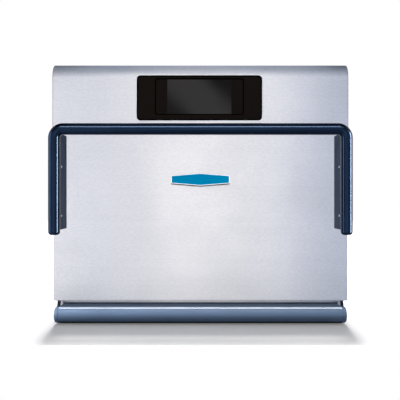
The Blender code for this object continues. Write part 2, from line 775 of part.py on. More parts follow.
def make_front_frame():
    finish = look("frame_steel", STEEL, 0.35, 1.0)
    middle_z = (FOOT_HEIGHT + FRAME_TOP_Z) / 2
    outer = rounded_rect(2 * INSIDE_X, FRAME_TOP_Z - FOOT_HEIGHT, SHEET, (0, middle_z))
    mouth = rounded_rect(CAVITY_WIDTH, CAVITY_HEIGHT, MOUTH_CORNER, (0, CAVITY_MID_Z))
    loops = [outer, mouth[::-1]]
    for side in (-1, 1):
        loops.append(circle(PLUNGER_RADIUS + PLUNGER_CLEARANCE, (side * SWITCH_X, SWITCH_Z))[::-1])
    outline("front_frame", loops, FRAME_SHEET, (0, back(FRAME_DEPTH + FRAME_SHEET / 2), 0), FACING_Y, finish)


def make_nose():
    """The round nose: a ledge, a half round, and a flange that laps under the base pan."""
    centre = (NOSE_RADIUS, HINGE_Z)
    line = [(FRAME_DEPTH - SEAT, NOSE_TOP_Z)]
    line += arc(centre, NOSE_RADIUS, QUARTER, 3 * QUARTER, NOSE_STEPS)
    lap_z = FOOT_HEIGHT - SEAT - NOSE_SHEET
    line.append((NOSE_UNDER_DEPTH, NOSE_BOTTOM_Z))
    line.append((NOSE_UNDER_DEPTH + NOSE_STEP_DEPTH, lap_z))
    line.append((FRAME_BACK + NOSE_LAP, lap_z))
    length = 2 * (NOSE_HALF_WIDTH - KNUCKLE_LENGTH - SEAT)
    finish = look("nose_paint", NAVY, 0.3)
    outline("base_nose", [bent_sheet(line, NOSE_SHEET)], length, (0, FACE_Y, 0), FACING_X, finish)


# Display


def make_display():
    finish = look("bezel_plastic", DARK, 0.15)
    outer = rounded_rect(BEZEL_WIDTH, BEZEL_HEIGHT, BEZEL_CORNER)
    window = rounded_rect(GLASS_WIDTH, GLASS_HEIGHT, GLASS_CORNER, (0, GLASS_LIFT))
    thickness = BEZEL_PROUD - SEAT
    middle = (DISPLAY_X, back(-SEAT - thickness / 2), BEZEL_Z)
    bezel = outline("display_bezel", [outer, window[::-1]], thickness, middle, FACING_Y, finish)
    wall = 2 * COLLAR_WALL
    sleeve = rounded_rect(GLASS_WIDTH + wall, GLASS_HEIGHT + wall, GLASS_CORNER, (0, GLASS_LIFT))
    length = COLLAR_DEPTH + thickness / 2 + SEAT
    middle = (DISPLAY_X, back(COLLAR_DEPTH - length / 2), BEZEL_Z)
    fuse(bezel, outline("bezel_collar", [sleeve, window[::-1]], length, middle, FACING_Y))
    loop = rounded_rect(GLASS_WIDTH - 2 * SEAT, GLASS_HEIGHT - 2 * SEAT, GLASS_CORNER)
    depth = GLASS_SINK - BEZEL_PROUD + GLASS_THICKNESS / 2
    pane = look("display_glass", DARK, 0.05)
    outline("display_glass", [loop], GLASS_THICKNESS, (DISPLAY_X, back(depth), GLASS_Z), FACING_Y, pane)
    half_x = GLASS_WIDTH / 2 - MODULE_MARGIN
    half_z = GLASS_HEIGHT / 2 - MODULE_MARGIN
    low = (DISPLAY_X - half_x, back(MODULE_DEPTH + SEAT), GLASS_Z - half_z)
    high = (DISPLAY_X + half_x, back(MODULE_DEPTH + SEAT + MODULE_THICKNESS), GLASS_Z + half_z)
    boxes("display_module", [(low, high)], look("display_module", DARK, 0.4))


def make_control_board():
    half_x = GLASS_WIDTH / 2 + BOARD_MARGIN
    half_z = GLASS_HEIGHT / 2
    start, end = back(BOARD_DEPTH), back(BOARD_DEPTH + BOARD_THICKNESS)
    low = (DISPLAY_X - half_x, start, GLASS_Z - half_z)
    high = (DISPLAY_X + half_x, end, GLASS_Z + half_z)
    board = boxes("control_board", [(low, high)], look("board", GREEN, 0.5))
    module_back = back(MODULE_DEPTH + 2 * SEAT + MODULE_THICKNESS)
    legs = []
    for side in (-1, 1):
        for level in (-1, 1):
            x = DISPLAY_X + side * (GLASS_WIDTH / 2 - STANDOFF_INSET)
            z = GLASS_Z + level * (GLASS_HEIGHT / 2 - STANDOFF_INSET)
            legs.append((STANDOFF_RADIUS, (x, module_back, z), (x, end - BOARD_THICKNESS / 2, z)))
    fuse(board, rods("board_standoffs", legs, "Y", steps=JET_STEPS))
    chips = []
    for x in spread(DISPLAY_X - half_x / 2, DISPLAY_X + half_x / 2, 3):
        low = (x - CHIP_SIZE / 2, end - BOARD_THICKNESS / 2, GLASS_Z)
        chips.append((low, (x + CHIP_SIZE / 2, end + CHIP_HEIGHT, GLASS_Z + CHIP_SIZE)))
    for side in (-1, 1):
        x = DISPLAY_X + side * half_x / 2
        low = (x - PLUG_BLOCK_WIDTH / 2, end - BOARD_THICKNESS / 2, GLASS_Z - half_z + BOARD_THICKNESS)
        high = (x + PLUG_BLOCK_WIDTH / 2, end + PLUG_BLOCK_REACH, low[2] + PLUG_BLOCK_HEIGHT)
        chips.append((low, high))
    fuse(board, boxes("board_chips", chips))


# Cavity


def make_liner():
    low = (-LINER_OUTSIDE_X, back(LINER_FRONT), LINER_FLOOR_Z - LINER_SHEET)
    high = (LINER_OUTSIDE_X, back(LINER_BACK), LINER_ROOF_Z + LINER_SHEET)
    liner = tray("cavity_liner", low, high, (0, -1, 0), LINER_SHEET, look("liner_steel", STEEL, 0.35, 1.0))
    start, end = back(LINER_REAR - OVERRUN), back(LINER_BACK + OVERRUN)
    holes = [
        (CATALYST_RADIUS + SEAT, (0, start, CAVITY_MID_Z), (0, end, CAVITY_MID_Z)),
        (PROBE_DIAMETER / 2 + SEAT, (PROBE_X, start, PROBE_Z), (PROBE_X, end, PROBE_Z)),
    ]
    cut(liner, rods("liner_round_holes", holes, "Y", steps=ROUND_STEPS))
    slots = []
    for bottom in (LINER_FLOOR_Z, LINER_ROOF_Z - PLENUM_HEIGHT):
        slot_z = bottom + (PLENUM_HEIGHT - SUPPLY_SLOT_HEIGHT) / 2
        half = CAVITY_HALF - SUPPLY_SLOT_INSET
        slots.append(((-half, start, slot_z), (half, end, slot_z + SUPPLY_SLOT_HEIGHT)))
    cut(liner, boxes("liner_supply_slots", slots))


def jet_plate(name, line, grid, level_z, finish):
    """A channel with a grid of round jets through its flat face: their radius, columns and rows."""
    radius, columns, rows = grid
    front, rear = LINER_FRONT + SEAT, LINER_REAR - SEAT
    middle = (0, back((front + rear) / 2), 0)
    plate = outline(name, [bent_sheet(line, LINER_SHEET)], rear - front, middle, FACING_Y, finish)
    jets = []
    for x in spread(JET_MARGIN - CAVITY_HALF, CAVITY_HALF - JET_MARGIN, columns):
        for depth in spread(front + JET_MARGIN, rear - JET_MARGIN, rows):
            low = (x, back(depth), level_z - LINER_SHEET - OVERRUN)
            jets.append((radius, low, (x, back(depth), level_z + LINER_SHEET + OVERRUN)))
    cut(plate, rods(name + "_jets", jets, "Z", steps=JET_STEPS))


def make_jet_plates():
    finish = look("jet_plate_steel", STEEL, 0.4, 1.0)
    edge = CAVITY_HALF - SEAT
    roof, floor = LINER_ROOF_Z - SEAT, LINER_FLOOR_Z + SEAT
    line = [(-edge, roof), (-edge, CAVITY_TOP_Z), (edge, CAVITY_TOP_Z), (edge, roof)]
    grid = (UPPER_JET_RADIUS, UPPER_JET_COLUMNS, UPPER_JET_ROWS)
    jet_plate("upper_jet_plate", line, grid, CAVITY_TOP_Z, finish)
    line = [(edge, floor), (edge, CAVITY_FLOOR_Z), (-edge, CAVITY_FLOOR_Z), (-edge, floor)]
    grid = (LOWER_JET_RADIUS, LOWER_JET_COLUMNS, LOWER_JET_ROWS)
    jet_plate("lower_jet_plate", line, grid, CAVITY_FLOOR_Z, finish)


def make_insulation():
    width, height = 2 * WOOL_INSIDE_X, WOOL_ROOF_Z - WOOL_FLOOR_Z
    middle = (0, back((LINER_FRONT + LINER_BACK) / 2), (WOOL_ROOF_Z + WOOL_FLOOR_Z) / 2)
    outer = rounded_rect(width + 2 * WOOL_THICKNESS, height + 2 * WOOL_THICKNESS, WOOL_THICKNESS / 2)
    inner = [(-width / 2, -height / 2), (-width / 2, height / 2), (width / 2, height / 2)]
    inner.append((width / 2, -height / 2))
    finish = look("mineral_wool", WOOL, 0.95)
    outline("cavity_insulation", [outer, inner], LINER_BACK - LINER_FRONT, middle, FACING_Y, finish)


def make_rails():
    finish = look("rail_steel", STEEL, 0.3, 1.0)
    wall = CAVITY_HALF - SEAT
    line = [(wall, RAIL_Z + RAIL_WALL), (wall, RAIL_Z), (wall - RAIL_LEDGE, RAIL_Z)]
    start, end = LINER_FRONT + RAIL_FRONT_GAP, LINER_REAR - RAIL_REAR_GAP
    middle = (0, back((start + end) / 2), 0)
    for side, edge in ((1, line), (-1, mirrored(line))):
        name = f"rack_rail_{side_name(side)}"
        outline(name, [bent_sheet(edge, -RAIL_SHEET)], end - start, middle, FACING_Y, finish)


def make_rack():
    """A ring of thick wire, thin bars from front to back, and thick cross-bars under them."""
    wire, bar = RACK_WIRE / 2, RACK_BAR / 2
    middle_y = back((RACK_FRONT + RACK_REAR) / 2)
    length = RACK_REAR - RACK_FRONT
    loop = rounded_rect(2 * RACK_HALF, length, RACK_CORNER, (0, middle_y))
    ring = [(x, y, RACK_Z) for x, y in loop]
    chrome = look("rack_chrome", STEEL, 0.15, 1.0)
    rack = tube("wire_rack", ring, wire, chrome, rings=1, closed=True)
    bars = []
    lift = RACK_Z + RACK_BAR_LIFT
    for x in spread(-RACK_HALF, RACK_HALF, RACK_BARS + 2)[1:-1]:
        bars.append((bar, (x, back(RACK_FRONT), lift), (x, back(RACK_REAR), lift)))
    fuse(rack, rods("rack_bars", bars, "Y", steps=WIRE_STEPS))
    crossbars = []
    for depth in spread(RACK_FRONT, RACK_REAR, RACK_CROSSBARS + 2)[1:-1]:
        level = RACK_Z - RACK_CROSSBAR_DROP
        y = back(depth)
        crossbars.append((RACK_CROSSBAR / 2, (-RACK_HALF, y, level), (RACK_HALF, y, level)))
    fuse(rack, rods("rack_crossbars", crossbars, "X", steps=WIRE_STEPS))
    return rack


def make_catalyst():
    """A disc with hexagonal cells, in the return air opening at the back of the cavity."""
    loops = [circle(CATALYST_RADIUS, steps=ROUND_STEPS)]
    reach = range(-CATALYST_RINGS, CATALYST_RINGS + 1)
    for row in reach:
        for column in reach:
            if abs(row + column) <= CATALYST_RINGS:
                u = CATALYST_PITCH * (column + row / 2)
                v = CATALYST_PITCH * row * math.sin(math.pi / 3)
                loops.append(circle(CATALYST_PITCH * CATALYST_CELL_SHARE, (u, v), WIRE_STEPS)[::-1])
    middle = (0, back(LINER_BACK - CATALYST_THICKNESS / 2), CAVITY_MID_Z)
    finish = look("catalyst", STEEL, 0.5, 0.9)
    outline("catalyst", loops, CATALYST_THICKNESS, middle, FACING_Y, finish)


def make_probe():
    radius = PROBE_DIAMETER / 2
    seat = LINER_BACK + SEAT
    profile = [
        (0, PROBE_REACH),
        (radius, PROBE_REACH),
        (radius, 0),
        (PROBE_FLANGE_RADIUS, 0),
        (PROBE_FLANGE_RADIUS, -PROBE_FLANGE),
        (radius, -PROBE_FLANGE),
        (radius, -PROBE_TAIL),
        (0, -PROBE_TAIL),
    ]
    finish = look("probe_steel", STEEL, 0.3, 1.0)
    probe = turned("temperature_probe", profile, (0, 0, 0), "Y", finish, SMALL_STEPS)
    probe.matrix_world = Matrix.Translation((PROBE_X, back(seat), PROBE_Z)) @ FORWARDS


# Hot-air system


def make_blower():
    grey = look("housing_steel", GALVANISED, 0.45, 0.9)
    low = (-LINER_OUTSIDE_X, back(HOUSING_FRONT), LINER_FLOOR_Z - LINER_SHEET)
    high = (LINER_OUTSIDE_X, back(HOUSING_BACK), LINER_ROOF_Z + LINER_SHEET)
    housing = tray("blower_housing", low, high, (0, -1, 0), SHEET, grey)
    start, end = back(HOUSING_BACK - SHEET - OVERRUN), back(HOUSING_BACK + OVERRUN)
    holes = [(SHAFT_HOLE_RADIUS, (0, start, CAVITY_MID_Z), (0, end, CAVITY_MID_Z))]
    holes.append((VENT_OUTER_RADIUS - VENT_WALL, (VENT_X, start, VENT_Z), (VENT_X, end, VENT_Z)))
    for side in (-1, 1):
        x = side * HEATER_GAP_HALF
        holes.append((HEATER_TUBE / 2 + SEAT, (x, start, HEATER_TAIL_Z), (x, end, HEATER_TAIL_Z)))
    cut(housing, rods("housing_holes", holes, "Y"))

    profile = [
        (0, HUB_LENGTH),
        (HUB_RADIUS, HUB_LENGTH),
        (HUB_RADIUS, DISC_SHEET),
        (BLOWER_RADIUS, DISC_SHEET),
        (BLOWER_RADIUS, 0),
        (SHAFT_RADIUS, 0),
        (SHAFT_RADIUS, -SHAFT_LENGTH),
        (0, -SHAFT_LENGTH),
    ]
    wheel = turned("blower_wheel", profile, (0, 0, 0), "Y", look("wheel_steel", STEEL, 0.35, 1.0))
    wheel.matrix_world = Matrix.Translation((0, back(BLOWER_BACK), CAVITY_MID_Z)) @ FORWARDS
    shape = bmesh.new()
    half = (BLOWER_LENGTH - DISC_SHEET) / 2
    reach = (BLOWER_RING - BLADE_SHEET) / 2
    for turn, x, z in ring_places(BLOWER_BLADES, BLOWER_RADIUS - BLOWER_RING / 2):
        centre = Vector((x, back(BLOWER_BACK - BLOWER_LENGTH / 2), CAVITY_MID_Z + z))
        span = Vector((reach, half, BLADE_SHEET / 2))
        add_box(shape, centre - span, centre + span, Matrix.Rotation(-turn, 3, "Y"))
    fuse(wheel, from_bmesh("blower_blades", shape, None))
    loops = [circle(BLOWER_RADIUS, steps=ROUND_STEPS)]
    loops.append(circle(BLOWER_RADIUS - BLOWER_RING, steps=ROUND_STEPS)[::-1])
    middle = (0, back(BLOWER_FRONT + DISC_SHEET / 2), CAVITY_MID_Z)
    fuse(wheel, outline("blower_ring", loops, DISC_SHEET, middle, FACING_Y))

    bore = SHAFT_RADIUS + SHAFT_CLEARANCE
    bore_end = SHAFT_TIP - MOTOR_FRONT + SEAT
    length = MOTOR_FLANGE + MOTOR_LENGTH
    profile = [
        (0, -bore_end),
        (bore, -bore_end),
        (bore, 0),
        (MOTOR_FLANGE_RADIUS, 0),
        (MOTOR_FLANGE_RADIUS, -MOTOR_FLANGE),
        (MOTOR_RADIUS, -MOTOR_FLANGE),
        (MOTOR_RADIUS, -length),
        (MOTOR_CAP_RADIUS, -length),
        (MOTOR_CAP_RADIUS, -length - MOTOR_CAP),
        (0, -length - MOTOR_CAP),
    ]
    motor = turned("blower_motor", profile, (0, 0, 0), "Y", look("motor_paint", DARK, 0.5))
    motor.matrix_world = Matrix.Translation((0, back(MOTOR_FRONT), CAVITY_MID_Z)) @ FORWARDS
    return wheel


def make_heater():
    """A ring of heating tube round the blower wheel, its two tails through the housing's back."""
    gap = math.asin(HEATER_GAP_HALF / HEATER_RADIUS)
    ring = arc((0, CAVITY_MID_Z), HEATER_RADIUS, gap - QUARTER, 3 * QUARTER - gap, HEATER_STEPS)
    depth = back(HEATER_DEPTH)
    bend = HEATER_TUBE / 2
    tail_y = back(HOUSING_BACK) + HEATER_TAIL
    points = [(ring[0][0], tail_y, ring[0][1]), (ring[0][0], depth + bend, ring[0][1])]
    points += [(x, depth, z) for x, z in ring]
    points += [(ring[-1][0], depth + bend, ring[-1][1]), (ring[-1][0], tail_y, ring[-1][1])]
    tube("convection_heater", points, HEATER_TUBE / 2, look("heater_sheath", DARK, 0.6, 0.6), rings=1)


def make_vent_tube():
    start, end = HOUSING_BACK + SEAT, REAR_INSIDE - SEAT
    loops = [circle(VENT_OUTER_RADIUS), circle(VENT_OUTER_RADIUS - VENT_WALL)[::-1]]
    middle = (VENT_X, back((start + end) / 2), VENT_Z)
    outline("vent_tube", loops, end - start, middle, FACING_Y, look("vent_steel", STEEL, 0.35, 1.0))


# Microwave supply


def make_waveguide(side):
    name = side_name(side)
    x = side * GUIDE_X
    low = (x - GUIDE_WIDTH / 2, back(GUIDE_FRONT), GUIDE_Z)
    high = (x + GUIDE_WIDTH / 2, back(GUIDE_BACK), GUIDE_Z + GUIDE_HEIGHT)
    finish = look(f"waveguide_{name}", GALVANISED, 0.4, 0.9)
    guide = tray(f"waveguide_{name}", low, high, (0, 0, -1), GUIDE_SHEET, finish)
    y = back(GUIDE_BACK - ANTENNA_INSET)
    hole = [(ANTENNA_RADIUS + SEAT, (x, y, high[2] - GUIDE_SHEET - OVERRUN), (x, y, high[2] + OVERRUN))]
    cut(guide, rods(f"waveguide_hole_{name}", hole, "Z"))


def make_magnetron(side):
    """A square yoke of sheet round a finned core, a filter box on top and an antenna below."""
    name = side_name(side)
    x, y = side * GUIDE_X, back(GUIDE_BACK - ANTENNA_INSET)
    half_x, half_y = YOKE_WIDTH / 2, YOKE_DEPTH / 2
    top = YOKE_Z + YOKE_HEIGHT
    frame = [(x - half_x, YOKE_Z), (x + half_x, YOKE_Z), (x + half_x, top), (x - half_x, top)]
    inner = [(x - half_x + YOKE_SHEET, YOKE_Z + YOKE_SHEET), (x - half_x + YOKE_SHEET, top - YOKE_SHEET)]
    inner += [(x + half_x - YOKE_SHEET, top - YOKE_SHEET), (x + half_x - YOKE_SHEET, YOKE_Z + YOKE_SHEET)]
    finish = look(f"magnetron_{name}", GALVANISED, 0.35, 0.9)
    magnetron = outline(f"magnetron_{name}", [frame, inner], YOKE_DEPTH, (0, y, 0), FACING_Y, finish)
    core = [(CORE_RADIUS, (x, y, YOKE_Z + YOKE_SHEET / 2), (x, y, top - YOKE_SHEET / 2))]
    fuse(magnetron, rods(f"magnetron_core_{name}", core, "Z", steps=JET_STEPS))
    fins = []
    for z in spread(YOKE_Z + YOKE_SHEET, top - YOKE_SHEET, FIN_COUNT + 2)[1:-1]:
        low = (x - half_x + YOKE_SHEET / 2, y - half_y + YOKE_SHEET, z - FIN_SHEET / 2)
        fins.append((low, (x + half_x - YOKE_SHEET / 2, y + half_y - YOKE_SHEET, z + FIN_SHEET / 2)))
    fuse(magnetron, boxes(f"magnetron_fins_{name}", fins))
    low = (x - half_x + FILTER_BOX_INSET, y - half_y + FILTER_BOX_INSET, top - YOKE_SHEET / 2)
    high = (x + half_x - FILTER_BOX_INSET, y + half_y - FILTER_BOX_INSET, top + FILTER_BOX_HEIGHT)
    fuse(magnetron, boxes(f"magnetron_box_{name}", [(low, high)]))
    stub = [(ANTENNA_RADIUS, (x, y, YOKE_Z - ANTENNA_LENGTH), (x, y, YOKE_Z + YOKE_SHEET / 2))]
    fuse(magnetron, rods(f"magnetron_antenna_{name}", stub, "Z"))


def make_transformer(side):
    """A laminated core with a mounting foot, and two windings that bulge from its ends."""
    name = side_name(side)
    x = side * TRANSFORMER_X
    y0, y1 = back(TRANSFORMER_BACK - TRANSFORMER_DEPTH), back(TRANSFORMER_BACK)
    bottom = BASE_TOP_Z + SEAT
    half = TRANSFORMER_WIDTH / 2
    core = [((x - half, y0, bottom), (x + half, y1, bottom + TRANSFORMER_HEIGHT))]
    transformer = boxes(f"transformer_{name}", core, look(f"transformer_{name}", DARK, 0.5, 0.3))
    low = (x - half + WINDING_INSET, y0 - WINDING_OVERHANG, bottom + WINDING_INSET)
    high = (x + half - WINDING_INSET, y1 + WINDING_OVERHANG, bottom + TRANSFORMER_HEIGHT - WINDING_INSET)
    fuse(transformer, round_edges(boxes(f"windings_{name}", [(low, high)]), WINDING_BEND))
    low = (x - half - WINDING_OVERHANG, y0 + WINDING_INSET, bottom)
    high = (x + half + WINDING_OVERHANG, y1 - WINDING_INSET, bottom + BRACKET_FOOT)
    fuse(transformer, boxes(f"transformer_foot_{name}", [(low, high)]))


def make_capacitor(side):
    name = side_name(side)
    x, y = side * CAPACITOR_X, back(TRANSFORMER_BACK - TRANSFORMER_DEPTH / 2)
    bottom = BASE_TOP_Z + SEAT
    profile = [
        (0, CAPACITOR_HEIGHT - CAPACITOR_RIM),
        (CAPACITOR_RADIUS - CAPACITOR_RIM, CAPACITOR_HEIGHT - CAPACITOR_RIM),
        (CAPACITOR_RADIUS - CAPACITOR_RIM, CAPACITOR_HEIGHT),
        (CAPACITOR_RADIUS, CAPACITOR_HEIGHT),
        (CAPACITOR_RADIUS, 0),
        (0, 0),
    ]
    finish = look(f"capacitor_{name}", STEEL, 0.35, 1.0)
    can = turned(f"capacitor_{name}", profile, (x, y, bottom), "Z", finish, SMALL_STEPS)
    top = bottom + CAPACITOR_HEIGHT - CAPACITOR_RIM
    tabs = []
    for way in (-1, 1):
        tab_x = x + way * TAB_SPREAD
        low = (tab_x - TAB_THICKNESS / 2, y - TAB_WIDTH / 2, top - CAPACITOR_RIM)
        tabs.append((low, (tab_x + TAB_THICKNESS / 2, y + TAB_WIDTH / 2, top + TAB_HEIGHT)))
    fuse(can, boxes(f"capacitor_tabs_{name}", tabs))


# Cooling and mains


def make_fan_frame(side):
    """A square fan frame with a round bore, and struts that carry the hub plate and its pin."""
    name = side_name(side)
    x = side * FAN_X
    loops = [rounded_rect(FAN_SIZE, FAN_SIZE, FAN_STRUT), circle(FAN_BORE_RADIUS, steps=ROUND_STEPS)[::-1]]
    middle = (x, back((FAN_FRONT + FAN_BACK) / 2), FAN_Z)
    finish = look(f"fan_frame_{name}", DARK, 0.5)
    frame = outline(f"cooling_fan_frame_{name}", loops, FAN_DEPTH, middle, FACING_Y, finish)
    shape = bmesh.new()
    inner = FAN_HUB_RADIUS - FAN_STRUT / 2
    outer = FAN_BORE_RADIUS + OVERRUN
    for turn, u, v in ring_places(FAN_STRUTS, (inner + outer) / 2, QUARTER):
        centre = Vector((x + u, back(FAN_FRONT + FAN_HUB_PLATE / 2), FAN_Z + v))
        span = Vector(((outer - inner) / 2, (FAN_HUB_PLATE - SHEET) / 2, FAN_STRUT / 2))
        add_box(shape, centre - span, centre + span, Matrix.Rotation(-turn, 3, "Y"))
    fuse(frame, from_bmesh(f"fan_struts_{name}", shape, None))
    plate = [(FAN_HUB_RADIUS, (x, back(FAN_FRONT), FAN_Z), (x, back(FAN_FRONT + FAN_HUB_PLATE), FAN_Z))]
    fuse(frame, rods(f"fan_hub_plate_{name}", plate, "Y"))
    start, end = back(FAN_FRONT + FAN_HUB_PLATE / 2), back(ROTOR_FRONT + FAN_PIN_LENGTH)
    pin = [(FAN_PIN_RADIUS, (x, start, FAN_Z), (x, end, FAN_Z))]
    fuse(frame, rods(f"fan_pin_{name}", pin, "Y", steps=JET_STEPS))


def make_fan_rotor(side):
    name = side_name(side)
    x = side * FAN_X
    bore = FAN_PIN_RADIUS + SHAFT_CLEARANCE
    bore_end = FAN_PIN_LENGTH + SEAT
    profile = [
        (0, -bore_end),
        (bore, -bore_end),
        (bore, 0),
        (FAN_HUB_RADIUS, 0),
        (FAN_HUB_RADIUS, -FAN_ROTOR_LENGTH),
        (0, -FAN_ROTOR_LENGTH),
    ]
    finish = look(f"fan_rotor_{name}", DARK, 0.4)
    rotor = turned(f"cooling_fan_{name}", profile, (0, 0, 0), "Y", finish, SMALL_STEPS)
    rotor.matrix_world = Matrix.Translation((x, back(ROTOR_FRONT), FAN_Z)) @ FORWARDS
    shape = bmesh.new()
    inner = FAN_HUB_RADIUS - OVERRUN
    outer = FAN_BORE_RADIUS - FAN_BLADE_CLEARANCE
    for turn, u, v in ring_places(FAN_BLADES, (inner + outer) / 2):
        centre = Vector((x + u, back(ROTOR_FRONT + FAN_ROTOR_LENGTH / 2), FAN_Z + v))
        span = Vector(((outer - inner) / 2, FAN_BLADE_SHEET / 2, FAN_BLADE_CHORD / 2))
        lean = Matrix.Rotation(-turn, 3, "Y") @ Matrix.Rotation(FAN_BLADE_PITCH, 3, "X")
        add_box(shape, centre - span, centre + span, lean)
    fuse(rotor, from_bmesh(f"fan_blades_{name}", shape, None))
    return rotor


def make_filter_board():
    start, end = back(FILTER_BOARD_BACK - BOARD_THICKNESS), back(FILTER_BOARD_BACK)
    half_x, half_z = FILTER_BOARD_WIDTH / 2, FILTER_BOARD_HEIGHT / 2
    low = (-half_x, start, FILTER_BOARD_Z - half_z)
    finish = look("filter_board", GREEN, 0.5)
    board = boxes("filter_board", [(low, (half_x, end, FILTER_BOARD_Z + half_z))], finish)
    legs = []
    for side in (-1, 1):
        for level in (-1, 1):
            x, z = side * (half_x - STANDOFF_INSET), FILTER_BOARD_Z + level * (half_z - STANDOFF_INSET)
            leg_start = end - BOARD_THICKNESS / 2
            legs.append((STANDOFF_RADIUS, (x, leg_start, z), (x, back(REAR_INSIDE - SEAT), z)))
    fuse(board, rods("filter_standoffs", legs, "Y", steps=JET_STEPS))
    chokes = []
    for x in spread(-half_x / 2, half_x / 2, 2):
        top = (x, start - CHOKE_HEIGHT, FILTER_BOARD_Z)
        chokes.append((CHOKE_RADIUS, top, (x, start + BOARD_THICKNESS / 2, FILTER_BOARD_Z)))
    fuse(board, rods("filter_chokes", chokes, "Y", steps=JET_STEPS))
    low = (-RELAY_WIDTH / 2, start - RELAY_HEIGHT, FILTER_BOARD_Z - RELAY_DEPTH / 2)
    high = (RELAY_WIDTH / 2, start + BOARD_THICKNESS / 2, FILTER_BOARD_Z + RELAY_DEPTH / 2)
    fuse(board, boxes("filter_relay", [(low, high)]))


def make_gland():
    """The mains gland: a nut outside the rear panel, and a body through it."""
    nut = GLAND_REACH - SEAT
    inside = SHEET + SEAT + GLAND_BODY_LENGTH
    profile = [
        (GLAND_BORE_RADIUS, nut),
        (GLAND_RADIUS - GLAND_ROUND, nut),
        (GLAND_RADIUS, nut - GLAND_ROUND),
        (GLAND_RADIUS, 0),
        (GLAND_BODY_RADIUS, 0),
        (GLAND_BODY_RADIUS, -inside),
        (GLAND_BORE_RADIUS, -inside),
    ]
    finish = look("gland_plastic", DARK, 0.5)
    gland = turned("cord_gland", profile, (0, 0, 0), "Y", finish, SMALL_STEPS, closed=True)
    placing = Matrix.Translation((GLAND_X, back(BODY_DEPTH + SEAT), GLAND_Z))
    gland.matrix_world = placing @ Matrix.Rotation(-QUARTER, 4, "X")


# Door


def make_door():
    finish = look("door_steel", STEEL, 0.28, 1.0)
    low = (-DOOR_HALF, back(0), DOOR_BOTTOM_Z)
    high = (DOOR_HALF, back(DOOR_PANEL_DEPTH - SEAT), DOOR_TOP_Z)
    skin = tray("door_outer_skin", low, high, (0, 1, 0), SHEET, finish, DOOR_BEND)

    # The inner panel is a flat sheet with a plug that enters the cavity's mouth.
    middle_z = (DOOR_BOTTOM_Z + DOOR_TOP_Z) / 2
    width = 2 * (DOOR_HALF - PANEL_INSET)
    height = DOOR_TOP_Z - DOOR_BOTTOM_Z - 2 * PANEL_INSET
    plug_width = CAVITY_WIDTH - 2 * PLUG_CLEARANCE
    plug_height = CAVITY_HEIGHT - 2 * PLUG_CLEARANCE
    sheet = rounded_rect(width, height, DOOR_BEND, (0, middle_z))
    hole = rounded_rect(plug_width - 2 * SHEET, plug_height - 2 * SHEET, MOUTH_CORNER, (0, CAVITY_MID_Z))
    finish = look("door_inner_steel", STEEL, 0.35, 1.0)
    middle = (0, back(DOOR_PANEL_DEPTH + SHEET / 2), 0)
    panel = outline("door_inner_panel", [sheet, hole[::-1]], SHEET, middle, FACING_Y, finish)
    low = (-plug_width / 2, back(DOOR_PANEL_DEPTH), CAVITY_MID_Z - plug_height / 2)
    high = (plug_width / 2, back(DOOR_THICKNESS + PLUG_HEIGHT), CAVITY_MID_Z + plug_height / 2)
    plug = tray("door_plug", low, high, (0, -1, 0), SHEET, None, PLUG_BEND)
    fuse(panel, plug)

    low = (INSULATION_INSET - DOOR_HALF, back(SHEET + SEAT), DOOR_BOTTOM_Z + INSULATION_INSET)
    high = (DOOR_HALF - INSULATION_INSET, back(DOOR_PANEL_DEPTH - SEAT), DOOR_TOP_Z - INSULATION_INSET)
    boxes("door_insulation", [(low, high)], look("door_wool", WOOL, 0.95))

    outer_width = CAVITY_WIDTH + 2 * (GASKET_MARGIN + GASKET_WIDTH)
    outer_height = CAVITY_HEIGHT + 2 * (GASKET_MARGIN + GASKET_WIDTH)
    outer = rounded_rect(outer_width, outer_height, GASKET_WIDTH + MOUTH_CORNER, (0, CAVITY_MID_Z))
    inner_width, inner_height = outer_width - 2 * GASKET_WIDTH, outer_height - 2 * GASKET_WIDTH
    inner = rounded_rect(inner_width, inner_height, MOUTH_CORNER, (0, CAVITY_MID_Z))
    middle = (0, back(DOOR_THICKNESS + SEAT + GASKET_HEIGHT / 2), 0)
    finish = look("gasket_silicone", DARK, 0.7)
    gasket = outline("door_gasket", [outer, inner[::-1]], GASKET_HEIGHT, middle, FACING_Y, finish)

    badge_z = DOOR_TOP_Z - BADGE_DROP
    thickness = BADGE_THICKNESS
    middle = (0, back(-SEAT - thickness / 2), badge_z)
    loop = rounded_rect(BADGE_WIDTH, BADGE_HEIGHT, BADGE_CORNER)
    badge = outline("door_badge", [loop], thickness, middle, FACING_Y, look("badge_enamel", BLUE, 0.25))
    return [skin, panel, bpy.data.objects["door_insulation"], gasket, badge]


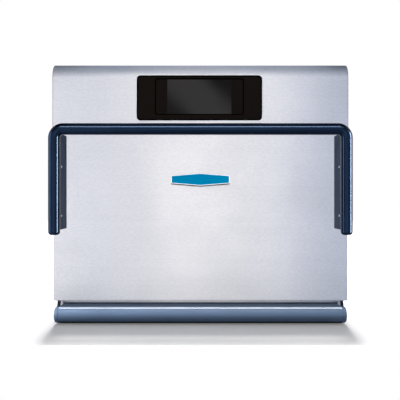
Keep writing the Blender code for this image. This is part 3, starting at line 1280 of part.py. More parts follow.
def make_handle():
    """A tube bent to an upside-down U that stands off the door, its two ends domed."""
    y = back(-HANDLE_STANDOFF)
    end_z = HANDLE_Z - HANDLE_ARM_LENGTH
    corner = (HANDLE_X - HANDLE_BEND, HANDLE_Z - HANDLE_BEND)
    dome = [HANDLE_TIP * (1 - math.cos(QUARTER * i / HANDLE_TIP_STEPS)) for i in range(HANDLE_TIP_STEPS)]
    dome_shares = [
        1 - (HANDLE_TIP / HANDLE_RADIUS) * (1 - math.sin(QUARTER * (i + 1) / (HANDLE_TIP_STEPS + 1)))
        for i in range(HANDLE_TIP_STEPS)
    ]
    half = [(HANDLE_X, end_z + rise) for rise in dome]
    half.append((HANDLE_X, end_z + HANDLE_TIP + OVERRUN))
    half += arc(corner, HANDLE_BEND, 0, QUARTER, HANDLE_BEND_STEPS)
    shares = dome_shares + [1] * (len(half) - HANDLE_TIP_STEPS)
    points = [(x, y, z) for x, z in half + mirrored(half)]
    finish = look("handle_paint", NAVY, 0.2)
    handle = tube("door_handle", points, HANDLE_RADIUS, finish, rings=4, swell=shares + shares[::-1])
    seat = tube("handle_seat", points, HANDLE_RADIUS + SEAT, rings=4)
    made = [handle]
    web = look("bracket_paint", NAVY, 0.4)
    for side in (-1, 1):
        inner = HANDLE_X - HANDLE_RADIUS + OVERRUN / 2
        near, far = sorted((side * inner, side * (inner + BRACKET_THICKNESS)))
        bottom = end_z + BRACKET_BOTTOM_RISE
        top = HANDLE_Z - BRACKET_TOP_DROP
        low, high = (near, y, bottom), (far, back(-SEAT), top)
        bracket = boxes(f"handle_bracket_{side_name(side)}", [(low, high)], web)
        made.append(cut(bracket, seat))
    return made


def make_hinge(side):
    """A pin fixed in the nose's end, and the arm whose round knuckle turns on it and carries the door."""
    name = side_name(side)
    steel = look(f"hinge_steel_{name}", DARK, 0.35, 0.7)
    inner_x = NOSE_HALF_WIDTH - KNUCKLE_LENGTH
    axle_y = back(NOSE_RADIUS)
    plug_radius = NOSE_RADIUS - NOSE_SHEET - SEAT
    plug_end = inner_x - 2 * SEAT
    profile = [
        (0, PIN_REACH),
        (PIN_RADIUS, PIN_REACH),
        (PIN_RADIUS, plug_end - inner_x),
        (plug_radius, plug_end - inner_x),
        (plug_radius, plug_end - inner_x - PIN_PLUG_LENGTH),
        (0, plug_end - inner_x - PIN_PLUG_LENGTH),
    ]
    pin = turned(f"hinge_pin_{name}", profile, (0, 0, 0), "X", steel, SMALL_STEPS)
    turn = Matrix.Rotation(side * QUARTER, 4, "Y")
    pin.matrix_world = Matrix.Translation((side * inner_x, axle_y, HINGE_Z)) @ turn

    bore = PIN_RADIUS + PIN_CLEARANCE
    bore_end = PIN_REACH + SEAT
    rim_middle = (NOSE_RADIUS - KNUCKLE_ROUND, KNUCKLE_LENGTH - KNUCKLE_ROUND)
    rim = arc(rim_middle, KNUCKLE_ROUND, QUARTER, 0, KNUCKLE_STEPS)
    profile = [(0, KNUCKLE_LENGTH)] + rim + [(NOSE_RADIUS, 0), (bore, 0), (bore, bore_end), (0, bore_end)]
    paint = look(f"knuckle_paint_{name}", NAVY, 0.3)
    knuckle = turned(f"hinge_arm_{name}", profile, (0, 0, 0), "X", paint, ROUND_STEPS)
    knuckle.matrix_world = Matrix.Translation((side * inner_x, axle_y, HINGE_Z)) @ turn
    strap_x = side * (NOSE_HALF_WIDTH - STRAP_SIDE_INSET - STRAP_THICKNESS / 2)
    top = DOOR_BOTTOM_Z - SEAT
    root_half = STRAP_DEPTH / 2
    line = [
        (NOSE_RADIUS - root_half, NOSE_TOP_Z - NOSE_RADIUS / 2),
        (NOSE_RADIUS + root_half, NOSE_TOP_Z - NOSE_RADIUS / 2),
        (NOSE_RADIUS + root_half + STRAP_LEAN, top),
        (NOSE_RADIUS - root_half + STRAP_LEAN, top),
    ]
    strap = outline(f"hinge_strap_{name}", [line], STRAP_THICKNESS, (strap_x, FACE_Y, 0), FACING_X)
    fuse(knuckle, strap)
    outer_x = side * (NOSE_HALF_WIDTH - STRAP_SIDE_INSET)
    near, far = sorted((outer_x, outer_x - side * PAD_WIDTH))
    front = NOSE_RADIUS - root_half + STRAP_LEAN - PAD_MARGIN
    rear = NOSE_RADIUS + root_half + STRAP_LEAN + PAD_MARGIN
    pad = [((near, back(front), top - PAD_THICKNESS), (far, back(rear), top))]
    fuse(knuckle, boxes(f"hinge_pad_{name}", pad))
    return knuckle


def make_interlock(side):
    """A door switch behind the front frame, and the plunger that the closed door holds in."""
    name = side_name(side)
    x = side * SWITCH_X
    front = FRAME_BACK + SEAT
    low = (x - SWITCH_WIDTH / 2, back(front), SWITCH_Z - SWITCH_HEIGHT / 2)
    high = (x + SWITCH_WIDTH / 2, back(front + SWITCH_LENGTH), SWITCH_Z + SWITCH_HEIGHT / 2)
    switch = boxes(f"interlock_switch_{name}", [(low, high)], look(f"switch_{name}", DARK, 0.5))
    mouth, bottom = (x, back(front - OVERRUN), SWITCH_Z), (x, back(PLUNGER_BACK + SEAT), SWITCH_Z)
    cut(switch, rods(f"switch_bore_{name}", [(PLUNGER_RADIUS + SEAT, mouth, bottom)], "Y"))
    rod = [(PLUNGER_RADIUS, (x, back(PLUNGER_TIP), SWITCH_Z), (x, back(PLUNGER_BACK), SWITCH_Z))]
    return rods(f"interlock_plunger_{name}", rod, "Y", look(f"plunger_{name}", WHITE, 0.4))


def pivot(name, middle, riders):
    """An empty on a joint's axis that carries the pieces which move about it."""
    axis = bpy.data.objects.new(name, None)
    axis.empty_display_size = FAN_HUB_RADIUS
    axis.location = middle
    PARTS.objects.link(axis)
    for rider in riders:
        rider.parent = axis
        rider.matrix_parent_inverse = Matrix.Translation(middle).inverted()


def build():
    make_base()
    make_side_panels()
    make_top_cover()
    make_rear_panel()
    make_fascia()
    make_front_frame()
    make_nose()
    make_display()
    make_control_board()
    make_liner()
    make_jet_plates()
    make_insulation()
    make_rails()
    rack = make_rack()
    make_catalyst()
    make_probe()
    wheel = make_blower()
    make_heater()
    make_vent_tube()
    make_filter_board()
    make_gland()
    door = make_door() + make_handle()
    for side in (-1, 1):
        make_waveguide(side)
        make_magnetron(side)
        make_transformer(side)
        make_capacitor(side)
        make_fan_frame(side)
        rotor = make_fan_rotor(side)
        pivot(f"cooling_fan_{side_name(side)}_axis", (side * FAN_X, back(ROTOR_FRONT), FAN_Z), [rotor])
        door.append(make_hinge(side))
        plunger = make_interlock(side)
        pivot(f"interlock_{side_name(side)}_axis", (side * SWITCH_X, back(PLUNGER_TIP), SWITCH_Z), [plunger])
    pivot("door_axis", (0, back(NOSE_RADIUS), HINGE_Z), door)
    pivot("rack_axis", (0, back(RACK_FRONT), RACK_Z), [rack])
    pivot("blower_axis", (0, back(BLOWER_BACK), CAVITY_MID_Z), [wheel])


build()
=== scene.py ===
"""The looks of a countertop speed oven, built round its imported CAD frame.

Metres, +Z up, the door faces -Y. Depths are measured backwards from the face of the door.
"""

import json
from math import cos, hypot, pi, radians, sin, sqrt, tau

import bmesh
import bpy
from mathutils import Matrix, Vector

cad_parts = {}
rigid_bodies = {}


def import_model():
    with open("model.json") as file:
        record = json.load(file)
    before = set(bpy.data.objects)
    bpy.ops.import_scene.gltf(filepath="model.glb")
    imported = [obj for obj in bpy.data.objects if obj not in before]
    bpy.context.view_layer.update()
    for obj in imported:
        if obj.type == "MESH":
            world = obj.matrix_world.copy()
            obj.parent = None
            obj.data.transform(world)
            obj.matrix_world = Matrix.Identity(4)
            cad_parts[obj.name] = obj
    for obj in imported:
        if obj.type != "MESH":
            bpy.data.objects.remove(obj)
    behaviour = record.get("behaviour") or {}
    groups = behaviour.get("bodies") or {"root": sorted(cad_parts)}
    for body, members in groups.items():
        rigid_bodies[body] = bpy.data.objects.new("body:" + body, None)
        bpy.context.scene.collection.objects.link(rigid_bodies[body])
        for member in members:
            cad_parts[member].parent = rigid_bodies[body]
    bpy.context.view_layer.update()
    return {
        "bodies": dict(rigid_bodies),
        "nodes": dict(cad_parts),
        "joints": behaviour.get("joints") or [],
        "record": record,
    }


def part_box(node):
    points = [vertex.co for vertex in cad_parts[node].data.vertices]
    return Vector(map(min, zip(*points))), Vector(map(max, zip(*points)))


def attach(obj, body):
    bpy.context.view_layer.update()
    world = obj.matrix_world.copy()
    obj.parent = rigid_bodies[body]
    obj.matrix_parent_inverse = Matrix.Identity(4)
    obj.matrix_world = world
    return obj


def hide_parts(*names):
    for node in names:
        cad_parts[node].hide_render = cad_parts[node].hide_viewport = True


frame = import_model()
nodes = frame["nodes"]

QUARTER = pi / 2
SHARP_ANGLE = radians(40)
SIDES = {"left": -1, "right": 1}

# Camera
CAMERA_DISTANCE = 1.2
CAMERA_HEIGHT = 0.2644
CAMERA_LENS = 51.6
CAMERA_SIDE = -0.0008

# Planes of the frame
FACE_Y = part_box("door_outer_skin")[0].y
HALF_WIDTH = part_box("right_side_panel")[1].x
INSIDE_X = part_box("control_fascia")[1].x
BODY_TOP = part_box("top_cover")[1].z
BODY_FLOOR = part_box("base_pan")[0].z
BODY_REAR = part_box("rear_panel")[1].y
BODY_DEPTH = BODY_REAR - FACE_Y
FASCIA_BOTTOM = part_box("control_fascia")[0].z
FRAME_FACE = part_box("front_frame")[0].y - FACE_Y

# Sizes that several pieces share
SHEET = 0.0012
SEAT = 0.0003
FINE_EDGE = 0.0004
BULL_RADIUS = 0.032
BULL_STEPS = 24
FASCIA_TOP_RETURN = 0.030
COVER_SEAM = 0.0008
COVER_FLANGE = 0.015
DOOR_BEND = 0.0016
MOUTH_CORNER = 0.006
SCREW_RADIUS = 0.0036
SCREW_HOLE = SCREW_RADIUS * 1.02
SCREW_SINK = 0.0002
SMALL_SCREW = 0.003
GRILLE_RADIUS = 0.0565
MERGE_DISTANCE = 0.00001
CORNER_STEPS = 10
ROUND_STEPS = 48

# The cavity's mouth
MOUTH_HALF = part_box("upper_jet_plate")[1].x + SEAT
MOUTH_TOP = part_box("upper_jet_plate")[0].z
MOUTH_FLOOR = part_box("lower_jet_plate")[1].z
MOUTH_MIDDLE = (MOUTH_TOP + MOUTH_FLOOR) / 2

# Turns from lying flat to the ways that pieces face
FLAT = Matrix.Identity(4)
FACING_Y = Matrix.Rotation(QUARTER, 4, "X")
FACING_X = Matrix(((0, 0, 1, 0), (1, 0, 0, 0), (0, 1, 0, 0), (0, 0, 0, 1)))
REARWARD = Matrix.Rotation(-QUARTER, 4, "X")
SIDEWARD = {1: Matrix.Rotation(QUARTER, 4, "Y"), -1: Matrix.Rotation(-QUARTER, 4, "Y")}


def back(depth):
    """The Y of a depth measured backwards from the door's face."""
    return FACE_Y + depth


def box_of(name):
    """A node's lowest and highest corners, and its middle."""
    low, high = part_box(name)
    return low, high, (low + high) / 2


# Materials

LOOKS = {}

# Brushed steel: its colour, how far it varies, and the length and width of its marks
STEEL = (0.74, 0.74, 0.76)
SHEEN_SPREAD = 0.06
STREAK = (0.2, 0.0014)
BAND = (0.7, 0.011)
FLECK = (0.0070, 0.0028)
STREAK_DEPTH = 0.0002


def new_look(name, colour, roughness, metallic=0.0, **sockets):
    look = bpy.data.materials.new(name)
    look.use_nodes = True
    shader = look.node_tree.nodes["Principled BSDF"]
    sockets |= {"Base Color": (*colour, 1), "Roughness": roughness, "Metallic": metallic}
    for socket, value in sockets.items():
        shader.inputs[socket.replace("_", " ")].default_value = value
    LOOKS[name] = look
    return look.node_tree, shader


def add_node(tree, kind, **values):
    """A node whose sockets are set or fed, and whose settings are made, by name."""
    node = tree.nodes.new(kind)
    for key, value in values.items():
        socket = node.inputs.get(key.replace("_", " "))
        if socket is None:
            setattr(node, key, value)
        elif isinstance(value, bpy.types.NodeSocket):
            tree.links.new(value, socket)
        else:
            socket.default_value = value
    return node


def combine(tree, operation, *values):
    """The sum or the product of sockets."""
    node = add_node(tree, "ShaderNodeMath", operation=operation)
    for value, socket in zip(values, node.inputs):
        tree.links.new(value, socket)
    return node.outputs[0]


def noise(tree, scale, detail, stretch=(1, 1, 1), seed=(0, 0, 0)):
    """A noise over the object's own coordinates, stretched along an axis."""
    place = add_node(tree, "ShaderNodeTexCoord").outputs["Object"]
    mapping = add_node(tree, "ShaderNodeMapping", Vector=place, Scale=stretch, Location=seed)
    texture = add_node(tree, "ShaderNodeTexNoise", Vector=mapping.outputs[0], Scale=scale, Detail=detail)
    return texture.outputs["Fac"]


def ramp(tree, value, low, high, start=0.3, end=0.7):
    """The value spread between two numbers."""
    spread = {"From_Min": start, "From_Max": end, "To_Min": low, "To_Max": high}
    return add_node(tree, "ShaderNodeMapRange", Value=value, **spread).outputs["Result"]


def tint(colour, factor):
    return tuple(min(1, part * factor) for part in colour)


def vary_colour(tree, shader, factor, colour, spread):
    """Feeds the base colour, from a little darker to a little lighter."""
    node = add_node(tree, "ShaderNodeMix", data_type="RGBA")
    tree.links.new(factor, node.inputs[0])
    for socket, share in ((6, 1 - spread), (7, 1 + spread)):
        node.inputs[socket].default_value = (*tint(colour, share), 1)
    tree.links.new(node.outputs[2], shader.inputs["Base Color"])


def bump(tree, shader, height, strength, distance):
    node = add_node(tree, "ShaderNodeBump", Height=height, Strength=strength, Distance=distance)
    tree.links.new(node.outputs["Normal"], shader.inputs["Normal"])


def brushed(name, colour, roughness, grain, anisotropy=0.9):
    """Brushed steel: streaks along the grain's axis, and highlights drawn out across it."""
    tree, shader = new_look(name, colour, roughness, 1.0, Anisotropic=anisotropy)

    def marks(size, detail, seed=(0, 0, 0)):
        """A noise whose cells lie along the grain."""
        length, width = size
        stretch = [1 / length if axis == grain else 1 / width for axis in "XYZ"]
        return noise(tree, 1, detail, stretch, seed)

    streaks = marks(STREAK, 2)
    tone = ramp(tree, marks(FLECK, 1, (2, 9, 4)), 0.0, 0.6, 0.35, 0.65)
    for layer in (streaks, marks(BAND, 2, (3, 5, 7))):
        tone = combine(tree, "ADD", tone, ramp(tree, layer, 0.0, 0.2))
    vary_colour(tree, shader, tone, colour, SHEEN_SPREAD)
    lines = ramp(tree, streaks, roughness - 0.02, roughness + 0.02)
    smudges = ramp(tree, noise(tree, 9, 4), -0.03, 0.04)
    tree.links.new(combine(tree, "ADD", lines, smudges), shader.inputs["Roughness"])
    tangent = add_node(tree, "ShaderNodeTangent", direction_type="RADIAL", axis=grain)
    tree.links.new(tangent.outputs["Tangent"], shader.inputs["Tangent"])
    bump(tree, shader, streaks, 0.06, STREAK_DEPTH)


def grained(name, colour, roughness, metallic, scale, depth, spread=0.08, strength=0.25, specular=0.5):
    """A paint, plastic, rubber or cast finish with a fine grain and faint handling marks."""
    tree, shader = new_look(name, colour, roughness, metallic, Specular_IOR_Level=specular)
    marks = noise(tree, 14, 5)
    vary_colour(tree, shader, ramp(tree, marks, 0, 1), colour, spread)
    rough = ramp(tree, marks, max(0.02, roughness - 0.05), roughness + 0.06)
    tree.links.new(rough, shader.inputs["Roughness"])
    bump(tree, shader, noise(tree, scale, 2), strength, depth)


def soft_shading():
    """A node group that shades a faceted CAD solid smooth between its sharp edges."""
    group = bpy.data.node_groups.new("soft_shading", "GeometryNodeTree")
    for way in ("INPUT", "OUTPUT"):
        group.interface.new_socket("Geometry", in_out=way, socket_type="NodeSocketGeometry")
    solid = add_node(group, "NodeGroupInput").outputs[0]
    angle = add_node(group, "GeometryNodeInputMeshEdgeAngle").outputs["Unsigned Angle"]
    below = add_node(group, "FunctionNodeCompare", operation="LESS_THAN", A=angle, B=SHARP_ANGLE).outputs[0]
    faces = add_node(group, "GeometryNodeSetShadeSmooth", Geometry=solid).outputs[0]
    edges = add_node(group, "GeometryNodeSetShadeSmooth", domain="EDGE", Geometry=faces, Shade_Smooth=below)
    group.links.new(edges.outputs[0], add_node(group, "NodeGroupOutput").inputs[0])
    return group


# Each finish: colour, roughness, then the grain's axis, or metallic, grain per metre and its depth
brushed("case_steel", STEEL, 0.36, "X")
brushed("side_steel", STEEL, 0.36, "Y")
brushed("door_steel", STEEL, 0.36, "X")
brushed("liner_steel", tint(STEEL, 0.9), 0.34, "Y", 0.4)
grained("satin_steel", (0.62, 0.63, 0.66), 0.30, 1.0, 500, 0.00005)
# Used by the badge's rim, and by the ring round the display, which is a painted highlight
grained("bright_trim", (0.86, 0.90, 0.95), 0.25, 1.0, 500, 0.00002)
# A pale finish for the bead along the nose roll's top: a painted highlight line
grained("pale_highlight_paint", (0.82, 0.86, 0.90), 0.4, 0.0, 500, 0.00002)
grained("galvanised_steel", (0.55, 0.57, 0.58), 0.42, 0.9, 60, 0.0002, 0.15)
grained("navy_paint", (0.066, 0.102, 0.165), 0.50, 0.1, 900, 0.00005, specular=0.3)
# The roll's navy paint made darker for the ledge behind it: painted shade under the door's overhang
grained("navy_painted_shade", (0.031, 0.046, 0.072), 0.50, 0.1, 900, 0.00005, specular=0.3)
grained("navy_bracket", (0.016, 0.032, 0.066), 0.5, 0.0, 900, 0.0001, specular=0.05)
grained("navy_handle", (0.0095, 0.019, 0.040), 0.20, 1.0, 500, 0.00002)
grained("black_plastic", (0.0068, 0.0038, 0.0024), 0.5, 0.0, 900, 0.00002, specular=0.06)
# Also used for the black strip under the nose roll, which is a painted shade line
grained("black_rubber", (0.002, 0.002, 0.002), 0.6, 0.0, 900, 0.00002, specular=0.0)
grained("dark_plastic", (0.022, 0.022, 0.024), 0.5, 0.0, 1200, 0.0002)
grained("display_glass", (0.0085, 0.0075, 0.0080), 0.06, 0.0, 300, 0.00001)
grained("circuit_board", (0.02, 0.12, 0.05), 0.5, 0.0, 400, 0.0003, 0.3)
grained("mineral_wool", (0.72, 0.69, 0.60), 0.95, 0.0, 260, 0.002, 0.2, 0.8)
grained("foot_rubber", (0.02, 0.02, 0.02), 0.8, 0.0, 1500, 0.0003)
grained("gasket_silicone", (0.05, 0.05, 0.055), 0.6, 0.0, 800, 0.0002)
grained("rack_chrome", (0.80, 0.80, 0.82), 0.14, 1.0, 300, 0.00005)
grained("heater_sheath", (0.09, 0.075, 0.065), 0.5, 0.6, 500, 0.0002, 0.3)
grained("motor_paint", (0.03, 0.03, 0.032), 0.5, 0.0, 800, 0.0002)
# Also used for the badge's back plate, whose lower edge is a painted shadow line
grained("core_steel", (0.10, 0.10, 0.11), 0.5, 0.5, 900, 0.0003)
grained("hinge_steel", (0.03, 0.035, 0.045), 0.4, 0.6, 700, 0.0001)
grained("badge_enamel", (0.0, 0.49, 1.0), 0.25, 0.0, 300, 0.00005, specular=0.0)
grained("catalyst_metal", (0.42, 0.40, 0.37), 0.5, 0.9, 700, 0.0003, 0.2)
grained("capacitor_can", (0.75, 0.75, 0.77), 0.3, 1.0, 300, 0.0001)
SHADING = soft_shading()

for row in frame["record"]["subparts"]:
    node = nodes[row["node"]]
    node.data.materials.clear()
    node.data.materials.append(LOOKS[row["material_slot"]])
    node.modifiers.new("shading", "NODES").node_group = SHADING


# Shapes


def dress(piece, body, slot, *hidden, look=None):
    """Gives a piece its look, its body and the CAD nodes that it stands for."""
    piece.data.materials.clear()
    piece.data.materials.append(LOOKS[look or slot])
    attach(piece, body)
    if hidden:
        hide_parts(*hidden)


def smoothed(piece, angle=SHARP_ANGLE):
    """Smooth faces between the sharp edges, with large faces kept flat."""
    for face in piece.data.polygons:
        face.use_smooth = True
    piece.data.set_sharp_from_angle(angle=angle)
    flat = piece.modifiers.new("flat_faces", "WEIGHTED_NORMAL")
    flat.keep_sharp = True
    return piece


def new_object(name, data):
    """An object of the scene that shows a mesh or curve, or holds a lamp or camera."""
    item = bpy.data.objects.new(name, data)
    bpy.context.scene.collection.objects.link(item)
    return item


def from_bmesh(name, shape, placing=FLAT, angle=SHARP_ANGLE):
    """A smooth piece made of a shape, laid in its place."""
    bmesh.ops.recalc_face_normals(shape, faces=shape.faces)
    mesh = bpy.data.meshes.new(name)
    shape.to_mesh(mesh)
    shape.free()
    mesh.transform(placing)
    return smoothed(new_object(name, mesh), angle)


def from_curve(name, curve, placing=FLAT):
    """A smooth, closed piece made of a curve, laid in its place."""
    draft = new_object(name + "_draft", curve)
    graph = bpy.context.evaluated_depsgraph_get()
    mesh = bpy.data.meshes.new_from_object(draft.evaluated_get(graph))
    bpy.data.objects.remove(draft)
    shape = bmesh.new()
    shape.from_mesh(mesh)
    bpy.data.meshes.remove(mesh)
    bmesh.ops.remove_doubles(shape, verts=shape.verts, dist=MERGE_DISTANCE)
    return from_bmesh(name, shape, placing)


def arc(middle, radius, start, end, steps):
    """Points along an arc, from one angle to another."""
    angles = [start + (end - start) * i / steps for i in range(steps + 1)]
    return [(middle[0] + radius * cos(a), middle[1] + radius * sin(a)) for a in angles]


def rounded_rect(width, height, radius, middle=(0, 0)):
    across, up = width / 2 - radius, height / 2 - radius
    loop = []
    for turn, (side, level) in enumerate(((1, 1), (-1, 1), (-1, -1), (1, -1))):
        centre = (middle[0] + side * across, middle[1] + level * up)
        loop += arc(centre, radius, turn * QUARTER, (turn + 1) * QUARTER, CORNER_STEPS)
    return loop


def circle(radius, middle=(0, 0), steps=ROUND_STEPS):
    return arc(middle, radius, 0, tau, steps)[:-1]


def bent_sheet(points, thickness):
    """The closed outline of a bent sheet: a line of points, and the same line set to its left."""
    path = [Vector(point) for point in points]
    normals = []
    for first, second in zip(path, path[1:]):
        run = (second - first).normalized()
        normals.append(Vector((-run.y, run.x)))
    inner = []
    for i, point in enumerate(path):
        before = normals[max(i - 1, 0)]
        after = normals[min(i, len(normals) - 1)]
        inner.append(point + thickness * (before + after) / (1 + before.dot(after)))
    return [tuple(point) for point in path + inner[::-1]]


def plate(name, loops, thickness, middle, facing, edge=0.0, edge_steps=2):
    """A flat outline, with any holes in it as further loops, whose edges are rounded."""
    curve = bpy.data.curves.new(name, "CURVE")
    curve.dimensions = "2D"
    curve.fill_mode = "BOTH"
    curve.extrude = thickness / 2 - edge
    curve.bevel_depth = edge
    curve.bevel_resolution = edge_steps
    curve.offset = -edge
    for loop in loops:
        spline = curve.splines.new("POLY")
        spline.points.add(len(loop) - 1)
        for point, (u, v) in zip(spline.points, loop):
            point.co = (u, v, 0, 1)
        spline.use_cyclic_u = True
    return from_curve(name, curve, Matrix.Translation(middle) @ facing)


def tube(name, points, radius, rings, closed=False, swell=None):
    """A round tube along points, with a share of its radius at each point if they are given."""
    curve = bpy.data.curves.new(name, "CURVE")
    curve.dimensions = "3D"
    curve.bevel_depth = radius
    curve.bevel_resolution = rings
    curve.use_fill_caps = True
    spline = curve.splines.new("POLY")
    spline.points.add(len(points) - 1)
    for point, place in zip(spline.points, points):
        point.co = (*place, 1)
    for point, share in zip(spline.points, swell or ()):
        point.radius = share
    spline.use_cyclic_u = closed
    return from_curve(name, curve)


def turned(name, profile, middle):
    """A profile of radius and height turned about an upright axis through a point."""
    shape = bmesh.new()
    verts = [shape.verts.new((radius, 0, height)) for radius, height in profile]
    edges = [shape.edges.new(pair) for pair in zip(verts, verts[1:])]
    turn = {"cent": (0, 0, 0), "axis": (0, 0, 1), "angle": tau, "steps": ROUND_STEPS}
    bmesh.ops.spin(shape, geom=verts + edges, use_merge=True, use_duplicate=False, **turn)
    bmesh.ops.remove_doubles(shape, verts=shape.verts, dist=MERGE_DISTANCE)
    return from_bmesh(name, shape, Matrix.Translation(middle))


def tray(name, low, high, open_side, bend):
    """A box of bent sheet with one side left open, its outside between two corners."""
    shape = bmesh.new()
    low, high = Vector(low), Vector(high)
    bmesh.ops.create_cube(shape, size=1, matrix=Matrix.LocRotScale((low + high) / 2, None, high - low))
    shape.normal_update()
    gone = [face for face in shape.faces if face.normal.dot(Vector(open_side)) > 0.5]
    bmesh.ops.delete(shape, geom=gone, context="FACES_ONLY")
    bends = [edge for edge in shape.edges if len(edge.link_faces) == 2]
    bmesh.ops.bevel(shape, geom=bends, offset=bend, segments=8, profile=0.5, affect="EDGES")
    piece = from_bmesh(name, shape)
    walls = piece.modifiers.new("sheet", "SOLIDIFY")
    walls.thickness = SHEET
    walls.offset = -1
    walls.use_even_offset = True
    return piece


def cut(piece, cutter):
    """Takes the cutter's shape out of the piece, for good."""
    step = piece.modifiers.new("cut", "BOOLEAN")
    step.operation = "DIFFERENCE"
    step.solver = "EXACT"
    step.object = cutter
    graph = bpy.context.evaluated_depsgraph_get()
    mesh = bpy.data.meshes.new_from_object(piece.evaluated_get(graph))
    piece.modifiers.clear()
    piece.data = mesh
    bpy.data.objects.remove(cutter)
    return smoothed(piece)


def skin(shape, loops):
    """Faces from each loop of vertices to the next, all with the same count."""
    for lower, upper in zip(loops, loops[1:]):
        for i in range(len(lower)):
            j = (i + 1) % len(lower)
            shape.faces.new((lower[i], lower[j], upper[j], upper[i]))


def add_rings(shape, rings, placing=FLAT):
    """A closed skin over rings of points, laid in its place."""
    loops = [[shape.verts.new(placing @ Vector(point)) for point in ring] for ring in rings]
    skin(shape, loops)
    shape.faces.new(loops[0][::-1])
    shape.faces.new(loops[-1])


def ring_of(radius, height, sides=0, steps=24):
    """A ring of points at one height: round, or with flat sides of the same reach."""
    points = []
    for i in range(steps):
        turn = tau * i / steps
        reach = radius
        if sides:
            half = pi / sides
            reach = radius * cos(half) / cos((turn % (2 * half)) - half)
        points.append((reach * cos(turn), reach * sin(turn), height))
    return points


def screws(name, body, radius, places, flush=False, look=None):
    """Screw heads with a hexagon socket, each at a place and facing its own way."""
    shape = bmesh.new()
    height, lip = radius * 0.55, 0.0001
    if flush:
        rings = [ring_of(radius * 0.5, -height), ring_of(radius, -lip), ring_of(radius * 0.96, 0)]
    else:
        rings = [ring_of(radius, 0), ring_of(radius, height * 0.45), ring_of(radius * 0.86, height * 0.85)]
    top = 0 if flush else height
    rings += [ring_of(radius * 0.52, top, 6), ring_of(radius * 0.48, top - height * 0.6, 6)]
    for place, facing in places:
        add_rings(shape, rings, Matrix.Translation(place) @ facing)
    dress(from_bmesh(name, shape, angle=radians(30)), body, "rack_chrome", look=look)


# Case


def bore(radius, middle):
    """A round hole in a plate that faces Y."""
    return circle(radius, (middle.x, middle.z))[::-1]


def make_fascia():
    """One sheet: the return over the door, the face, the bullnose and a short flat on top."""
    clearance, corner, through = 0.0026, 0.005, 0.02
    bull = (BULL_RADIUS, BODY_TOP - BULL_RADIUS)
    line = [(FRAME_FACE - SEAT, FASCIA_BOTTOM), (0, FASCIA_BOTTOM)]
    line += arc(bull, BULL_RADIUS, 2 * QUARTER, QUARTER, BULL_STEPS)
    line.append((BULL_RADIUS + FASCIA_TOP_RETURN, BODY_TOP))
    fascia = plate("fascia_sheet", [bent_sheet(line, -SHEET)], 2 * INSIDE_X, (0, FACE_Y, 0), FACING_X)
    low, high, middle = box_of("display_glass")
    width, height = high.x - low.x + 2 * clearance, high.z - low.z + 2 * clearance
    loop = rounded_rect(width, height, corner, (middle.x, middle.z))
    cutter = plate("display_opening", [loop], through, (0, FACE_Y, 0), FACING_Y)
    dress(cut(fascia, cutter), "case", "case_steel", "control_fascia")


def make_side_panels():
    """Flat sheets with a row of upright vent slots low at the rear, and six screws each."""
    slots, width, height, pitch, level, first = 7, 0.005, 0.070, 0.014, 0.092, 0.120
    front_seat, low_seat, seat_inset = 0.070, 0.027, 0.016
    bull = (back(BULL_RADIUS), BODY_TOP - BULL_RADIUS)
    profile = [(back(FRAME_FACE), BODY_FLOOR), (back(BODY_DEPTH), BODY_FLOOR), (back(BODY_DEPTH), BODY_TOP)]
    profile += arc(bull, BULL_RADIUS, QUARTER, 2 * QUARTER, BULL_STEPS)
    profile += [(back(0), FASCIA_BOTTOM), (back(FRAME_FACE), FASCIA_BOTTOM)]
    holes = []
    for i in range(slots):
        place = (back(BODY_DEPTH - first - pitch * i + width / 2), level)
        holes.append(rounded_rect(width, height, 0.49 * width, place)[::-1])
    seats = []
    for depth in (front_seat, BODY_DEPTH / 2, BODY_DEPTH - seat_inset):
        seats += [(back(depth), low_seat), (back(depth), BODY_TOP - seat_inset)]
    holes += [circle(SCREW_HOLE, seat)[::-1] for seat in seats]
    for name, side in SIDES.items():
        middle = (side * (HALF_WIDTH - SHEET / 2), 0, 0)
        panel = plate(f"side_sheet_{name}", [profile] + holes, SHEET, middle, FACING_X, FINE_EDGE)
        dress(panel, "case", "case_steel", f"{name}_side_panel", look="side_steel")
        places = [((side * (HALF_WIDTH - SCREW_SINK), y, z), SIDEWARD[side]) for y, z in seats]
        screws(f"side_screws_{name}", "case", SCREW_RADIUS, places, flush=True)


def make_top_cover():
    """A sheet behind the fascia's return, its sides bent down inside the side panels."""
    bend, seat_side, seat_end, through = 0.002, 0.022, 0.016, 0.01
    front = BULL_RADIUS + FASCIA_TOP_RETURN + COVER_SEAM
    half = [(INSIDE_X, BODY_TOP - COVER_FLANGE)]
    half += arc((INSIDE_X - bend, BODY_TOP - bend), bend, 0, QUARTER, 6)
    line = half + [(-x, z) for x, z in reversed(half)]
    middle = (0, back((front + BODY_DEPTH) / 2), 0)
    cover = plate("top_sheet", [bent_sheet(line, SHEET)], BODY_DEPTH - front, middle, FACING_Y)
    depths = (front + seat_end, BODY_DEPTH - seat_end)
    seats = [(side * (INSIDE_X - seat_side), back(depth)) for side in (-1, 1) for depth in depths]
    holes = [circle(SCREW_HOLE, seat) for seat in seats]
    cutter = plate("cover_holes", holes, through, (0, 0, BODY_TOP), FLAT)
    dress(cut(cover, cutter), "case", "case_steel", "top_cover")
    places = [((x, y, BODY_TOP - SCREW_SINK), FLAT) for x, y in seats]
    screws("cover_screws", "case", SCREW_RADIUS, places, flush=True)


